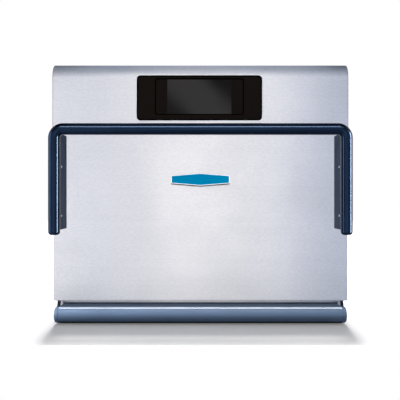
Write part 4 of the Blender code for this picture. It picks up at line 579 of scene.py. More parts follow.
def make_rear_panel():
    """A flat sheet with a slotted grille over each fan, a vent, the cord's hole and its screws."""
    corner, slot, slot_end, pitch, rows = 0.001, 0.006, 0.0029, 0.0145, 3
    vent_wall, cord_hole = 0.0015, 0.0128
    seat_inset, top_inset, seat_levels = 0.012, 0.010, (0.19, 0.36)
    low, high, middle = box_of("rear_panel")
    loops = [rounded_rect(high.x - low.x, high.z - low.z, corner, (0, middle.z))]
    for side in SIDES:
        fan = box_of(f"cooling_fan_frame_{side}")[2]
        for i in range(-rows, rows + 1):
            level = pitch * i
            half = sqrt(GRILLE_RADIUS**2 - level**2)
            loops.append(rounded_rect(2 * half, slot, slot_end, (fan.x, fan.z + level))[::-1])
    vent_low, vent_high, vent = box_of("vent_tube")
    loops.append(bore((vent_high.x - vent_low.x) / 2 - vent_wall, vent))
    loops.append(bore(cord_hole, box_of("cord_gland")[2]))
    panel = plate("rear_sheet", loops, SHEET, (0, BODY_REAR - SHEET / 2, 0), FACING_Y, FINE_EDGE)
    dress(panel, "case", "case_steel", "rear_panel")
    columns = (low.x + seat_inset, low.x / 3, -low.x / 3, high.x - seat_inset)
    seats = [(x, z) for x in columns for z in (low.z + seat_inset, high.z - top_inset)]
    seats += [(x, z) for x in (columns[0], columns[-1]) for z in seat_levels]
    screws("rear_screws", "case", SCREW_RADIUS, [((x, BODY_REAR, z), REARWARD) for x, z in seats])


def make_front_frame():
    """The plate round the cavity's mouth, with holes for the interlock plungers."""
    corner, rod_hole, screw_sink = 0.0012, 0.0029, 0.00005
    seat_x, seat_levels = 0.298, (0.075, 0.235, 0.350)
    low, high, middle = box_of("front_frame")
    outer = rounded_rect(high.x - low.x, high.z - low.z, corner, (0, middle.z))
    mouth = rounded_rect(2 * MOUTH_HALF, MOUTH_TOP - MOUTH_FLOOR, MOUTH_CORNER, (0, MOUTH_MIDDLE))
    loops = [outer, mouth[::-1]]
    loops += [bore(rod_hole, box_of(f"interlock_plunger_{side}")[2]) for side in SIDES]
    sheet = plate("frame_sheet", loops, high.y - low.y, (0, middle.y, 0), FACING_Y, FINE_EDGE)
    dress(sheet, "case", "case_steel", "front_frame")
    seats = [(side * seat_x, z) for side in (-1, 1) for z in seat_levels]
    places = [((x, low.y + screw_sink, z), FACING_Y) for x, z in seats]
    screws("frame_screws", "case", SMALL_SCREW, places)


def make_feet():
    """Rubber feet with a groove round them and a hollow underneath."""
    rounding, sole, hollow = 0.0016, 0.002, 0.001
    groove, groove_low, groove_high, bevel = 0.0012, 0.0033, 0.0052, 0.0005
    for row in ("front", "rear"):
        for side in SIDES:
            low, high, middle = box_of(f"foot_{row}_{side}")
            radius = (high.x - low.x) / 2
            profile = [(0, high.z), (radius - rounding, high.z)]
            profile += arc((radius - rounding, high.z - rounding), rounding, QUARTER, 0, 5)
            profile += [(radius, groove_high), (radius - groove, groove_high - bevel)]
            profile += [(radius - groove, groove_low + bevel), (radius, groove_low)]
            profile += arc((radius - sole, sole), sole, 0, -QUARTER, 5)
            profile += [(radius * 0.55, 0), (radius * 0.5, hollow), (0, hollow)]
            foot = turned(f"rubber_foot_{row}_{side}", profile, (middle.x, middle.y, 0))
            dress(foot, "case", "foot_rubber", f"foot_{row}_{side}")


def make_gland():
    """A domed nut with grip flats, on a flange."""
    flange, flats = 0.003, 8
    low, high, middle = box_of("cord_gland")
    reach, radius = high.y - BODY_REAR, (high.x - low.x) / 2
    profile = (
        (0.98, SEAT, 0),
        (0.98, flange, 0),
        (0.86, flange + 0.0001, flats),
        (0.90, reach * 0.5, flats),
        (0.80, reach * 0.62, 0),
        (0.72, reach * 0.86, 0),
        (0.58, reach * 0.985, 0),
        (0.40, reach, 0),
        (0.375, reach * 0.9, 0),
        (0.375, SEAT, 0),
    )
    rings = [ring_of(radius * share, height, sides, ROUND_STEPS) for share, height, sides in profile]
    shape = bmesh.new()
    add_rings(shape, rings)
    placing = Matrix.Translation((middle.x, BODY_REAR, middle.z)) @ REARWARD
    nut = from_bmesh("gland_nut", shape, placing, radians(28))
    dress(nut, "case", "dark_plastic", "cord_gland")


# Cavity


def make_jet_plate(name, jet_radius, columns, rows, up):
    """The flat channel of a jet plate, its round jets with a raised lip on the cavity's side."""
    margin, steps, corner, rounding = 0.045, 32, 0.0002, 0.0003
    lip = ((0, 0), (0.0016, 0), (0.0012, 0.0007), (0, 0.0009))
    low, high, middle = box_of(name)
    places = []
    for i in range(columns):
        for j in range(rows):
            x = low.x + margin + (high.x - low.x - 2 * margin) * i / (columns - 1)
            y = low.y + margin + (high.y - low.y - 2 * margin) * j / (rows - 1)
            places.append((x, y))
    base, into = (low.z, -1) if up else (high.z, 1)
    loops = [rounded_rect(high.x - low.x, high.y - low.y, corner, (0, middle.y))]
    loops += [circle(jet_radius, place, steps)[::-1] for place in places]
    face = plate(f"{name}_face", loops, SHEET, (0, 0, base - into * SHEET / 2), FLAT, rounding)
    dress(face, "case", "liner_steel", name)
    shape = bmesh.new()
    for place in places:
        rings = []
        for spread, rise in lip:
            ring = circle(jet_radius + spread, place, steps)
            rings.append([shape.verts.new((x, y, base + into * rise)) for x, y in ring])
        skin(shape, rings + rings[:1])
    dress(from_bmesh(f"{name}_lips", shape, angle=radians(50)), "case", "liner_steel")


def make_rack():
    """A ring of thick wire, thin bars from front to back and a thick cross-bar under them."""
    wire, bar, cross, corner = 0.0025, 0.0015, 0.0020, 0.016
    spaces, bar_rise, cross_drop = 12, 0.0008, 0.0003
    low, high, middle = box_of("wire_rack")
    half, front, rear = high.x - wire, low.y + wire, high.y - wire
    loop = rounded_rect(2 * half, rear - front, corner, (0, middle.y))
    ring = tube("rack_ring", [(x, y, middle.z) for x, y in loop], wire, 8, closed=True)
    dress(ring, "rack", "rack_chrome", "wire_rack")
    for i in range(1, spaces):
        x = -half + 2 * half * i / spaces
        ends = [(x, y, middle.z + bar_rise) for y in (front, rear)]
        dress(tube(f"rack_bar_{i}", ends, bar, 6), "rack", "rack_chrome")
    ends = [(x, middle.y, middle.z - cross_drop) for x in (-half, half)]
    dress(tube("rack_crossbar", ends, cross, 6), "rack", "rack_chrome")


def make_catalyst():
    """A disc of fine hexagonal cells in a rolled rim."""
    rim, pitch, cell, recess, rounding = 0.0022, 0.0088, 0.0045, 0.002, 0.0008
    low, high, middle = box_of("catalyst")
    radius = (high.x - low.x) / 2
    loops = [circle(radius - rim)]
    reach = int(radius / pitch) + 1
    for row in range(-reach, reach + 1):
        for column in range(-reach, reach + 1):
            u, v = pitch * (column + row / 2), pitch * row * sin(pi / 3)
            if hypot(u, v) < radius - rim - pitch * 0.62:
                angles = [pi / 3 * k for k in range(6)]
                loops.append([(u + cell * sin(a), v + cell * cos(a)) for a in angles])
    core = plate("catalyst_core", loops, high.y - low.y - recess, middle, FACING_Y)
    dress(core, "case", "catalyst_metal", "catalyst")
    loops = [circle(radius), circle(radius - rim)[::-1]]
    ring = plate("catalyst_rim", loops, high.y - low.y, middle, FACING_Y, rounding)
    dress(ring, "case", "liner_steel")


# Door


def make_door_skin():
    low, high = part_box("door_outer_skin")
    dress(tray("door_front", low, high, (0, 1, 0), DOOR_BEND), "door", "door_steel", "door_outer_skin")


def make_handle():
    """The bent tube with rounded tips, its two brackets and their screws."""
    bend, tip, tip_steps, bend_steps = 0.018, 0.006, 8, 16
    web_corner, web_edge = 0.003, 0.0015
    screw_radius, screw_depth, screw_levels = 0.0025, -0.0475, (0.233, 0.331)
    low, high, middle = box_of("door_handle")
    radius = (high.y - low.y) / 2
    reach, top = high.x - radius, high.z - radius
    angles = [QUARTER * i / tip_steps for i in range(tip_steps + 1)]
    half = [(reach, low.z + tip * (1 - cos(a))) for a in angles]
    shares = [1 - tip / radius * (1 - sin(a)) for a in angles]
    half += arc((reach - bend, top - bend), bend, 0, QUARTER, bend_steps)
    shares += [1] * (bend_steps + 1)
    points = [(x, middle.y, z) for x, z in half] + [(-x, middle.y, z) for x, z in reversed(half)]
    handle = tube("handle_tube", points, radius, 10, swell=shares + shares[::-1])
    dress(handle, "door", "navy_handle", "door_handle")
    handle.visible_glossy = False
    for side, sign in SIDES.items():
        low, high, middle = box_of(f"handle_bracket_{side}")
        loop = rounded_rect(high.y - low.y, high.z - low.z, web_corner, (middle.y, middle.z))
        web = plate(f"handle_web_{side}", [loop], high.x - low.x, (middle.x, 0, 0), FACING_X, web_edge)
        dress(web, "door", "navy_bracket", f"handle_bracket_{side}")
        web.visible_glossy = False
        inner_x = min(abs(low.x), abs(high.x))
        places = [((sign * inner_x, back(screw_depth), z), SIDEWARD[-sign]) for z in screw_levels]
        screws(f"web_screws_{side}", "door", screw_radius, places, look="satin_steel")


def make_badge():
    """A blank six-sided plate: a dark back that shows below the rim as a painted shadow line, a bright rim
    set a little higher and an enamelled face.
    """
    shade_lip, rim, rounding, side_share, point_share = 0.0022, 0.0010, 0.0002, 1.2, 0.35
    low, high, middle = box_of("door_badge")
    half_width, half_height = middle.x - low.x, middle.z - low.z
    layers = (
        # The dark back plate stands lower than the rim, so that a dark line shows along the badge's lower
        # edge: a painted shadow
        ("badge_shade_plate", 0.0, shade_lip, 0.0008, "door_steel", "core_steel"),
        ("badge_rim", 0.0, 0.0, 0.0003, "door_steel", "bright_trim"),
        ("badge_face", rim, 0.0, 0.0, "badge_enamel", None),
    )
    for name, inset, lip, front, slot, look in layers:
        reach = half_width - inset * side_share
        peak = half_height - inset - (shade_lip - lip) / 2
        ends = peak - point_share * half_height
        loop = [(-reach, -ends), (0, -peak), (reach, -ends), (reach, ends), (0, peak), (-reach, ends)]
        place = (middle.x, (low.y + front + high.y) / 2, middle.z + (shade_lip - lip) / 2)
        layer = plate(name, [loop], high.y - low.y - front, place, FACING_Y, rounding)
        hidden = ["door_badge"] if name == "badge_face" else []
        dress(layer, "door", slot, *hidden, look=look)


def make_nose():
    """The painted roll under the door, a ledge behind it in a darker copy of the paint as painted shade, a
    pale bead along its top as a painted highlight and a black strip below as a painted shade line.
    """
    sheet, upstand, bend_start, bend_end = 0.0015, 0.0030, 0.036, 0.0405
    bead, bead_sink, bead_angle = 0.0020, 0.0016, radians(119)
    shade_strip_rise, shade_strip_start, shade_strip_end = 0.0004, radians(228), radians(262)
    low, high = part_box("base_nose")
    radius = (high.z - low.z) / 2
    axle = (radius, high.z - radius)
    rear, lap = FRAME_FACE - SEAT, BODY_FLOOR - SEAT - sheet
    ledge = [(rear, high.z + upstand), (rear, high.z), (radius, high.z)]
    roll = arc(axle, radius, QUARTER, 3 * QUARTER, 40)
    roll += [(bend_start, low.z), (bend_end, lap), (high.y - FACE_Y, lap)]
    sunk = radius - bead_sink
    edge = (axle[0] + sunk * cos(bead_angle), axle[1] + sunk * sin(bead_angle))
    # A black strip along the roll's bottom stands in for the dark shade line there: painted shade
    seal = arc(axle, radius + shade_strip_rise, shade_strip_start, shade_strip_end, 8)
    for name, loop, look in (
        ("nose_roll", bent_sheet(roll, sheet), None),
        # The ledge takes a darker copy of the roll's paint: painted shade under the door
        ("nose_ledge", bent_sheet(ledge, sheet), "navy_painted_shade"),
        # A pale bead along the roll's top stands in for the highlight there: a painted highlight
        ("nose_highlight_bead", circle(bead, edge), "pale_highlight_paint"),
        # The black strip under the roll is a painted shade line
        ("nose_shade_strip", bent_sheet(seal, sheet), "black_rubber"),
    ):
        piece = plate(name, [loop], high.x - low.x, (0, FACE_Y, 0), FACING_X)
        hidden = ["base_nose"] if name == "nose_roll" else []
        dress(piece, "case", "navy_paint", *hidden, look=look)


# Display


def make_display():
    """A black frame with a bright ring round it that is a painted highlight, standing in for a halo of
    light, and a screen in a sealed dark border.
    """
    rim, seal, halo_width, edge, fine = 0.0028, 0.0018, 0.0022, 0.0004, 0.0001
    corner, inner_corner, pane_corner, border_corner = 0.008, 0.0065, 0.005, 0.004
    sunk, halo_depth, pane_depth = 0.004, 0.0016, 0.002
    screen_width, screen_height, screen_corner, screen_shift = 0.1340, 0.0728, 0.0008, -0.0001
    low, high, middle = box_of("display_bezel")
    pane_low, pane_high, pane_middle = box_of("display_glass")
    lift = pane_middle.z - middle.z
    frame = (high.x - low.x, high.z - low.z, 0)
    glass = (pane_high.x - pane_low.x, pane_high.z - pane_low.z, lift)
    proud = FACE_Y - low.y
    depth = proud + sunk

    def outline(size, growth, radius):
        """The outline of a width and height at a level, grown by a margin."""
        width, height, level = size
        return rounded_rect(width + 2 * growth, height + 2 * growth, radius, (0, level))

    def layer(name, loops, front, thickness, slot, rounding, look=None, *hidden):
        place = (middle.x, low.y + front + thickness / 2, middle.z)
        loops[1:] = [loop[::-1] for loop in loops[1:]]
        dress(plate(name, loops, thickness, place, FACING_Y, rounding), "case", slot, *hidden, look=look)

    outer, inner = outline(frame, 0, corner), outline(frame, -rim, inner_corner)
    halo_outline, window = outline(frame, halo_width, corner + halo_width), outline(glass, SEAT, pane_corner)
    pane, border = outline(glass, 0, pane_corner), outline(glass, -seal, border_corner)
    screen = rounded_rect(screen_width, screen_height, screen_corner, (screen_shift, lift))
    layer("bezel_frame", [inner, window], 0.0002, depth, "black_plastic", edge, None, "display_bezel")
    layer("bezel_rim", [outer, inner], 0, depth - sunk - 0.0002, "black_plastic", 0.0009, "black_rubber")
    # A bright ring round the frame stands in for a halo of light: a painted highlight
    layer("bezel_halo_ring", [halo_outline, outer], proud - halo_depth, halo_depth, "rack_chrome", edge, "bright_trim")
    layer("display_seal", [pane, border], 0.0014, pane_depth, "black_plastic", edge, "black_rubber")
    layer("display_border", [border, screen], 0.0018, pane_depth, "black_plastic", fine)
    layer("display_screen", [screen], 0.0019, pane_depth, "display_glass", fine, None, "display_glass")


# Door's inner side


def make_door_inside():
    """The sheet behind the door, the plug that enters the cavity's mouth and the gasket round it."""
    clearance, plug_bend, band, rounding = 0.003, 0.005, 0.010, 0.001
    side_seat, side_levels, end_seat, end_levels = 0.297, (0.075, 0.235, 0.360), 0.19, (0.0665, 0.4015)
    low, high, middle = box_of("door_inner_panel")
    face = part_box("door_outer_skin")[1].y + SEAT
    half, top, bottom = MOUTH_HALF - clearance, MOUTH_TOP - clearance, MOUTH_FLOOR + clearance
    outer = rounded_rect(high.x - low.x, high.z - low.z, DOOR_BEND, (0, middle.z))
    hole = rounded_rect(2 * (half - SHEET), top - bottom - 2 * SHEET, MOUTH_CORNER, (0, MOUTH_MIDDLE))
    sheet = plate("inner_sheet", [outer, hole[::-1]], SHEET, (0, face + SHEET / 2, 0), FACING_Y, FINE_EDGE)
    dress(sheet, "door", "case_steel", "door_inner_panel")
    plug = tray("inner_plug", (-half, face, bottom), (half, high.y, top), (0, -1, 0), plug_bend)
    dress(plug, "door", "liner_steel")
    low, high, middle = box_of("door_gasket")
    width, height = high.x - low.x, high.z - low.z
    outer = rounded_rect(width, height, band + MOUTH_CORNER, (0, MOUTH_MIDDLE))
    inner = rounded_rect(width - 2 * band, height - 2 * band, MOUTH_CORNER, (0, MOUTH_MIDDLE))
    loops = [outer, inner[::-1]]
    seal = plate("gasket_band", loops, high.y - low.y, (0, middle.y, 0), FACING_Y, rounding, 4)
    dress(seal, "door", "gasket_silicone", "door_gasket")
    seats = [(x, z) for x in (-side_seat, side_seat) for z in side_levels]
    seats += [(x, z) for x in (-end_seat, 0.0, end_seat) for z in end_levels]
    places = [((x, face + SHEET, z), REARWARD) for x, z in seats]
    screws("inner_screws", "door", SMALL_SCREW, places)


def make_hinge_arms():
    """The round knuckles at the nose's ends, and the straps and pads that carry the door."""
    pin_hole, lip, rounding, strap_inset = 0.0044, 0.0004, 0.005, 0.0045
    strap, strap_foot, strap_front, strap_rear, strap_edge = 0.004, 0.008, 0.0025, 0.0185, 0.0006
    pad, pad_width, pad_length, pad_corner, pad_edge = 0.002, 0.0165, 0.024, 0.002, 0.0004
    nose_low, nose_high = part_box("base_nose")
    radius = (nose_high.z - nose_low.z) / 2
    inner_x = nose_high.x + SEAT
    foot, top = nose_high.z - strap_foot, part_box("door_outer_skin")[0].z - SEAT
    for side, sign in SIDES.items():
        low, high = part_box(f"hinge_arm_{side}")
        outer_x = max(abs(low.x), abs(high.x))
        length = outer_x - inner_x
        profile = [(pin_hole, 0), (radius - lip, 0), (radius, lip)]
        profile += arc((radius - rounding, length - rounding), rounding, 0, QUARTER, 10)
        shape = bmesh.new()
        placing = Matrix.Translation((sign * inner_x, back(radius), nose_high.z - radius)) @ SIDEWARD[sign]
        add_rings(shape, [ring_of(*point, steps=64) for point in profile], placing)
        dress(from_bmesh(f"knuckle_{side}", shape), "door", "navy_paint", f"hinge_arm_{side}")
        loop = [(radius - strap_foot, foot), (radius + strap_foot, foot)]
        loop += [(radius + strap_rear, top), (radius + strap_front, top)]
        place = (sign * (outer_x - strap_inset - strap / 2), FACE_Y, 0)
        arm = plate(f"hinge_strap_{side}", [loop], strap, place, FACING_X, strap_edge)
        dress(arm, "door", "hinge_steel")
        loop = rounded_rect(pad_width, pad_length, pad_corner)
        depth = radius + (strap_front + strap_rear) / 2
        place = (sign * (outer_x - strap_inset - pad_width / 2), back(depth), top - pad / 2)
        dress(plate(f"hinge_pad_{side}", [loop], pad, place, FLAT, pad_edge), "door", "hinge_steel")


# Fans and blower


def blade_rings(inner, outer):
    """The rings of a twisted, cambered blade that reaches out along X, its chord turned from Z."""
    stations, around, chord, thickness, camber = 8, 12, 0.0250, 0.0018, 0.0022
    root_pitch, tip_pitch = radians(52), radians(34)
    rings = []
    for i in range(stations + 1):
        share = i / stations
        reach = inner + (outer - inner) * share
        pitch = root_pitch + (tip_pitch - root_pitch) * share
        ring = []
        for k in range(around):
            turn = tau * k / around
            along = chord / 2 * cos(turn)
            across = thickness / 2 * sin(turn) + camber * (1 - (2 * along / chord) ** 2)
            y = along * cos(pitch) - across * sin(pitch)
            z = along * sin(pitch) + across * cos(pitch)
            ring.append((sqrt(max(reach**2 - y**2, 0)), y, z))
        rings.append(ring)
    return rings


def make_fan_rotors():
    """Seven twisted blades on a domed hub."""
    blades, hub, tip_gap = 7, 0.022, 0.0022
    shaft_hole, rounding, dome, cap, dimple, dimple_depth = 0.0035, 0.002, 0.004, 0.006, 0.002, 0.0015
    for side in SIDES:
        low, high, middle = box_of(f"cooling_fan_{side}")
        length = high.y - low.y
        profile = [(shaft_hole, 0), (hub - rounding, 0)]
        profile += arc((hub - rounding, rounding), rounding, -QUARTER, 0, 4)
        profile += arc((hub - dome, length - dome), dome, 0, QUARTER, 5)
        profile += [(cap, length), (dimple, length - dimple_depth)]
        shape = bmesh.new()
        add_rings(shape, [ring_of(*point, steps=ROUND_STEPS) for point in profile])
        blade = blade_rings(hub - rounding, GRILLE_RADIUS - tip_gap)
        for i in range(blades):
            turn = Matrix.Rotation(tau * i / blades, 4, "Z") @ Matrix.Translation((0, 0, length / 2))
            add_rings(shape, blade, turn)
        placing = Matrix.Translation((middle.x, low.y, middle.z)) @ REARWARD
        rotor = from_bmesh(f"fan_rotor_{side}", shape, placing)
        dress(rotor, f"fan_{side}", "dark_plastic", f"cooling_fan_{side}")


def make_blower_wheel():
    """Many forward-curved blades between a back disc and a front ring, on a hub and shaft."""
    sheet, ring, depth, edge, overlap, rounding = 0.002, 0.020, 0.034, 0.0006, 0.0002, 0.0005
    shaft, shaft_length, shaft_bevel, shaft_taper, bolt_hole = 0.005, 0.057, 0.0005, 0.0002, 0.004
    hub, hub_height, hub_bevel, hub_foot = 0.018, 0.016, 0.0015, 0.002
    count, steps, sweep, half_blade = 30, 6, 0.10, 0.0004
    low, high, middle = box_of("blower_wheel")
    radius = (high.x - low.x) / 2
    profile = [(shaft - shaft_taper, sheet - shaft_length), (shaft, sheet - shaft_length + shaft_bevel)]
    profile += [(shaft, 0), (radius - edge, 0), (radius, edge), (radius, sheet)]
    profile += [(hub + hub_foot, sheet), (hub, sheet + hub_foot), (hub, hub_height - hub_bevel)]
    profile += [(hub - hub_bevel, hub_height), (bolt_hole, hub_height)]
    shape = bmesh.new()
    add_rings(shape, [ring_of(*point, steps=64) for point in profile])
    outline = []
    for side in (1, -1):
        for k in range(steps + 1)[::side]:
            share = k / steps
            reach = radius - ring + (ring - edge) * share
            lean = sweep * sin(share * QUARTER) + side * half_blade / reach
            outline.append((reach * cos(lean), reach * sin(lean)))
    rings = [[(x, y, height) for x, y in outline] for height in (sheet - overlap, depth - sheet + overlap)]
    for i in range(count):
        add_rings(shape, rings, Matrix.Rotation(tau * i / count, 4, "Z"))
    placing = Matrix.Translation((0, low.y + depth, middle.z)) @ FACING_Y
    dress(from_bmesh("blower_rotor", shape, placing), "blower", "liner_steel", "blower_wheel")
    loops = [circle(radius, steps=96), circle(radius - ring, steps=96)[::-1]]
    front = plate("blower_front_ring", loops, sheet, (0, low.y + sheet / 2, middle.z), FACING_Y, rounding)
    dress(front, "blower", "liner_steel")


make_fascia()
make_side_panels()
make_top_cover()
make_rear_panel()
make_front_frame()
make_feet()
make_gland()
make_jet_plate("upper_jet_plate", 0.006, 5, 4, True)
make_jet_plate("lower_jet_plate", 0.008, 4, 3, False)
make_rack()
make_catalyst()
make_door_skin()
make_handle()
make_badge()
make_nose()
make_display()
make_door_inside()
make_hinge_arms()
make_fan_rotors()
make_blower_wheel()


# Floor, light and camera

FLOOR_LIFT = 0.14
FAR_LIFT = 0.3
FLOOR_NEAR = 0.36
FLOOR_FAR = 0.9
FLOOR_FRONT = -0.155
FILL = 0.18
CARD_LEVEL = 0.003

FLOOR_PAINT = (0.83, 0.82, 0.82)
FILL_COLOUR = (0.93, 0.96, 1.0)
ROOM = (0.24, 0.29, 0.38)
WHITE = (1, 1, 1)
WARM = (1.0, 0.76, 0.58)
WARMER = (1.0, 0.74, 0.53)
COOL = (0.85, 0.93, 1.0)
DIM = (0.20, 0.25, 0.36)
DARK = (0.02, 0.03, 0.05)
SHADE = (0.15, 0.14, 0.14)
FLAG = (0.14, 0.17, 0.22)
FLOOR_SHEEN = (0.50, 0.52, 0.56)
HORIZON = (0.86, 0.88, 0.92)
DUSK = (0.52, 0.56, 0.64)

HANDLE = ("handle_tube", "handle_web_left", "handle_web_right")
NOSE = ("nose_roll", "nose_ledge", "knuckle_left", "knuckle_right", "nose_highlight_bead", "nose_shade_strip")


def flat_card(name, low, high, facing, place):
    """A flat rectangle of the stage, between two corners in its own plane."""
    (x0, y0), (x1, y1) = low, high
    mesh = bpy.data.meshes.new(name)
    mesh.from_pydata([(x0, y0, 0), (x1, y0, 0), (x1, y1, 0), (x0, y1, 0)], [], [(0, 1, 2, 3)])
    card = new_object(name, mesh)
    card.matrix_world = Matrix.Translation(place) @ facing
    return card


def make_floor():
    """A matt floor from just in front of the oven, which the camera sees lifted towards white."""
    floor = flat_card("floor", (-4, FLOOR_FRONT), (4, 6), FLAT, (0, back(0), 0))
    tree, shader = new_look("floor_paint", FLOOR_PAINT, 0.9, Specular_IOR_Level=0.0)
    reach = add_node(tree, "ShaderNodeVectorMath", operation="LENGTH")
    tree.links.new(add_node(tree, "ShaderNodeTexCoord").outputs["Object"], reach.inputs[0])
    lift = ramp(tree, reach.outputs["Value"], FLOOR_LIFT, FAR_LIFT, FLOOR_NEAR, FLOOR_FAR)
    seen = add_node(tree, "ShaderNodeLightPath").outputs["Is Camera Ray"]
    glow = add_node(tree, "ShaderNodeEmission", Strength=combine(tree, "MULTIPLY", seen, lift))
    both = add_node(tree, "ShaderNodeAddShader")
    tree.links.new(shader.outputs[0], both.inputs[0])
    tree.links.new(glow.outputs[0], both.inputs[1])
    tree.links.new(both.outputs[0], tree.nodes["Material Output"].inputs["Surface"])
    floor.data.materials.append(LOOKS["floor_paint"])


def make_world():
    """White behind the oven, a dim blue room for its reflections and a soft fill for its paint."""
    world = bpy.data.worlds.new("studio")
    bpy.context.scene.world = world
    world.use_nodes = True
    tree = world.node_tree
    shown = tree.nodes["Background"]
    shown.inputs["Color"].default_value = (*FILL_COLOUR, 1)
    shown.inputs["Strength"].default_value = FILL
    path = add_node(tree, "ShaderNodeLightPath")
    for rays, colour in (("Is Glossy Ray", ROOM), ("Is Camera Ray", WHITE)):
        sheet = add_node(tree, "ShaderNodeBackground", Color=(*colour, 1), Strength=1.0)
        both = add_node(tree, "ShaderNodeMixShader")
        for source, socket in zip((path.outputs[rays], shown.outputs[0], sheet.outputs[0]), both.inputs):
            tree.links.new(source, socket)
        shown = both
    tree.links.new(shown.outputs[0], tree.nodes["World Output"].inputs["Surface"])


def area_light(name, place, aim, size, power, colour=WHITE, lit=()):
    """A lamp that the camera can't see. Where pieces are named, it lights only those and shows in them."""
    light = bpy.data.lights.new(name, "AREA")
    light.shape = "RECTANGLE"
    light.size, light.size_y = size
    light.energy = power
    light.color = colour
    lamp = new_object(name, light)
    lamp.location = place
    lamp.rotation_euler = (Vector(aim) - Vector(place)).to_track_quat("-Z", "Y").to_euler()
    lamp.visible_glossy = bool(lit)
    lamp.visible_camera = False
    if lit:
        group = bpy.data.collections.new(f"{name}_pieces")
        for piece in lit:
            group.objects.link(bpy.data.objects[piece])
        lamp.light_linking.receiver_collection = group
    return lamp


def side_lamp(name, sign, power, colour, lit):
    """A tall lamp beside the oven and a little in front of it."""
    area_light(name, (sign * 1.5, -0.75, 0.45), (sign * 0.2, -0.3, 0.3), (0.3, 1.0), power, colour, lit)


def reflector(name, low, high, facing, place, stops, turn=0.0):
    """A card that only glossy surfaces see, its colour running through stops along its own X."""
    card = flat_card(name, low, high, facing, place)
    card.visible_camera = False
    card.visible_diffuse = False
    card.visible_transmission = False
    card.visible_shadow = False
    tree, shader = new_look(name, WHITE, 1)
    tree.nodes.remove(shader)
    where = add_node(tree, "ShaderNodeTexCoord").outputs["Object"]
    mapping = add_node(tree, "ShaderNodeMapping", Vector=where, Rotation=(0, 0, turn))
    split = add_node(tree, "ShaderNodeSeparateXYZ", Vector=mapping.outputs[0])
    start, end = stops[0][0], stops[-1][0]
    colours = add_node(tree, "ShaderNodeValToRGB", Fac=ramp(tree, split.outputs["X"], 0, 1, start, end))
    band = colours.color_ramp
    band.interpolation = "EASE"
    while len(band.elements) < len(stops):
        band.elements.new(0.5)
    for element, (x, colour) in zip(band.elements, stops):
        element.position = (x - start) / (end - start)
        element.color = (*colour, 1)
    glow = add_node(tree, "ShaderNodeEmission", Color=colours.outputs[0], Strength=1.0)
    tree.links.new(glow.outputs[0], tree.nodes["Material Output"].inputs["Surface"])
    card.data.materials.append(LOOKS[name])


def make_camera():
    camera = bpy.data.cameras.new("camera")
    camera.lens = CAMERA_LENS
    camera.sensor_width = 36
    seat = new_object("camera", camera)
    seat.location = (CAMERA_SIDE, back(-CAMERA_DISTANCE), CAMERA_HEIGHT)
    seat.rotation_euler = (QUARTER, 0, 0)
    bpy.context.scene.camera = seat


make_floor()
make_world()
make_camera()

# Lamps
area_light("top_light", (0, 2.19, 8), (0, 0, 0), (1.5, 3.2), 1348)
area_light("front_light", (0, back(-1.8), 1.1), (0, back(0), 0.3), (1.6, 1.0), 13)
area_light("handle_key", (0, back(-1.44), 1.56), (0, back(-0.06), 0.4), (1.8, 0.4), 60, WARM, HANDLE)
nose_key = area_light("nose_key", (0, back(-0.40), 2.2), (0, back(0), 0.02), (1.6, 0.6), 80, WHITE, NOSE)
nose_key.light_linking.blocker_collection = nose_key.light_linking.receiver_collection
area_light("end_key", (-0.62, back(-0.25), 0.40), (-0.31, back(0), 0.03), (0.15, 0.1), 3.8, WHITE, NOSE[:3])
side_lamp("side_key", 1, 95, WARMER, HANDLE[:1])
side_lamp("right_light", 1, 5, COOL, (*HANDLE, "nose_roll", "knuckle_right"))
side_lamp("left_light", -1, 10, COOL, (*HANDLE, "nose_roll", "knuckle_left"))

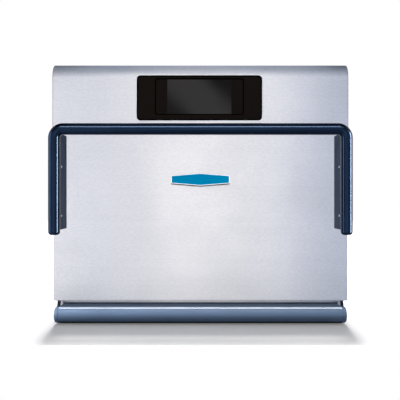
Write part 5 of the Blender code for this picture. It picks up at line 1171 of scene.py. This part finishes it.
# Cards in front, above, below and beside the oven, and behind it
reflector("front_card", (-2.6, -0.9), (2.6, 2.2), FACING_Y, (0, back(-2.4), 0), [
    (-2.6, (1.20, 1.19, 1.26)), (-0.95, (1.60, 1.57, 1.58)), (-0.66, (0.90, 0.92, 1.01)),
    (-0.15, (1.94, 1.89, 1.83)), (0.10, (2.00, 1.94, 1.86)), (0.50, (1.38, 1.38, 1.41)),
    (0.80, (0.74, 0.80, 0.98)), (2.6, (0.64, 0.70, 0.89)),
])
reflector("upper_card", (-2.6, 1.20), (2.6, 2.7), FACING_Y, (0, back(-2.35), 0), [
    (-2.6, DIM), (-1.00, DIM), (-0.80, (0.62, 0.68, 0.82)), (-0.45, (1.60, 1.58, 1.62)),
    (0.45, (1.75, 1.74, 1.78)), (0.80, (0.85, 0.90, 1.02)), (1.00, DIM), (2.6, DIM),
])
reflector("display_card", (-0.50, -0.27), (0.50, 0.27), FACING_Y, (0, back(-2.38), 0.89), [
    (-0.6, SHADE), (-0.17, SHADE), (-0.06, (0.80, 0.77, 0.77)),
    (0.06, (0.80, 0.77, 0.77)), (0.17, SHADE), (0.6, SHADE),
], turn=-QUARTER / 2)
reflector("low_card", (-2.6, -3.0), (2.6, -0.15), FLAT, (0, back(0), -0.4), [
    (-2.6, (1.30, 1.33, 1.42)), (-0.8, (1.30, 1.33, 1.42)),
    (0.0, (0.58, 0.62, 0.72)), (2.6, (0.62, 0.66, 0.76)),
])
reflector("floor_flag", (-0.6, -0.14), (0.6, 0.03), FLAT, (0, back(0), 0.002), [(-0.6, FLAG), (0.6, FLAG)])
reflector("sky_card", (-1.5, -0.6), (1.5, 2.2), FLAT, (0, back(0), 2.0), [
    (-1.5, DARK), (-0.66, DARK), (-0.55, (0.27, 0.32, 0.42)), (0.0, (0.42, 0.47, 0.57)),
    (0.54, (0.29, 0.34, 0.44)), (0.66, DARK), (1.5, DARK),
])
for side, sign in SIDES.items():
    place = (sign * 2.2, back(0), 0)
    stops = [(-1.0, (0.40, 0.44, 0.54)), (0.4, HORIZON), (2.6, DUSK)]
    reflector(f"{side}_card", (-1.0, -0.3), (2.6, 2.4), FACING_X, place, stops)
    place = (sign * (HALF_WIDTH + 1.03), back(0), CARD_LEVEL)
    stops = [(-1.0, FLOOR_SHEEN), (1.0, FLOOR_SHEEN)]
    reflector(f"{side}_floor_card", (-1.0, 0.0), (1.0, 3.6), FLAT, place, stops)
stops = [(-2.2, DUSK), (0.3, HORIZON), (2.2, (0.56, 0.60, 0.68))]
reflector("rear_card", (-2.2, -0.3), (2.2, 2.4), FACING_Y, (0, BODY_REAR + 2.2, 0), stops)
stops = [(-0.33, FLOOR_SHEEN), (0.33, FLOOR_SHEEN)]
reflector("rear_floor_card", (-0.33, 0.03), (0.33, 2.6), FLAT, (0, BODY_REAR, CARD_LEVEL), stops)

bpy.context.scene.view_settings.view_transform = "Standard"
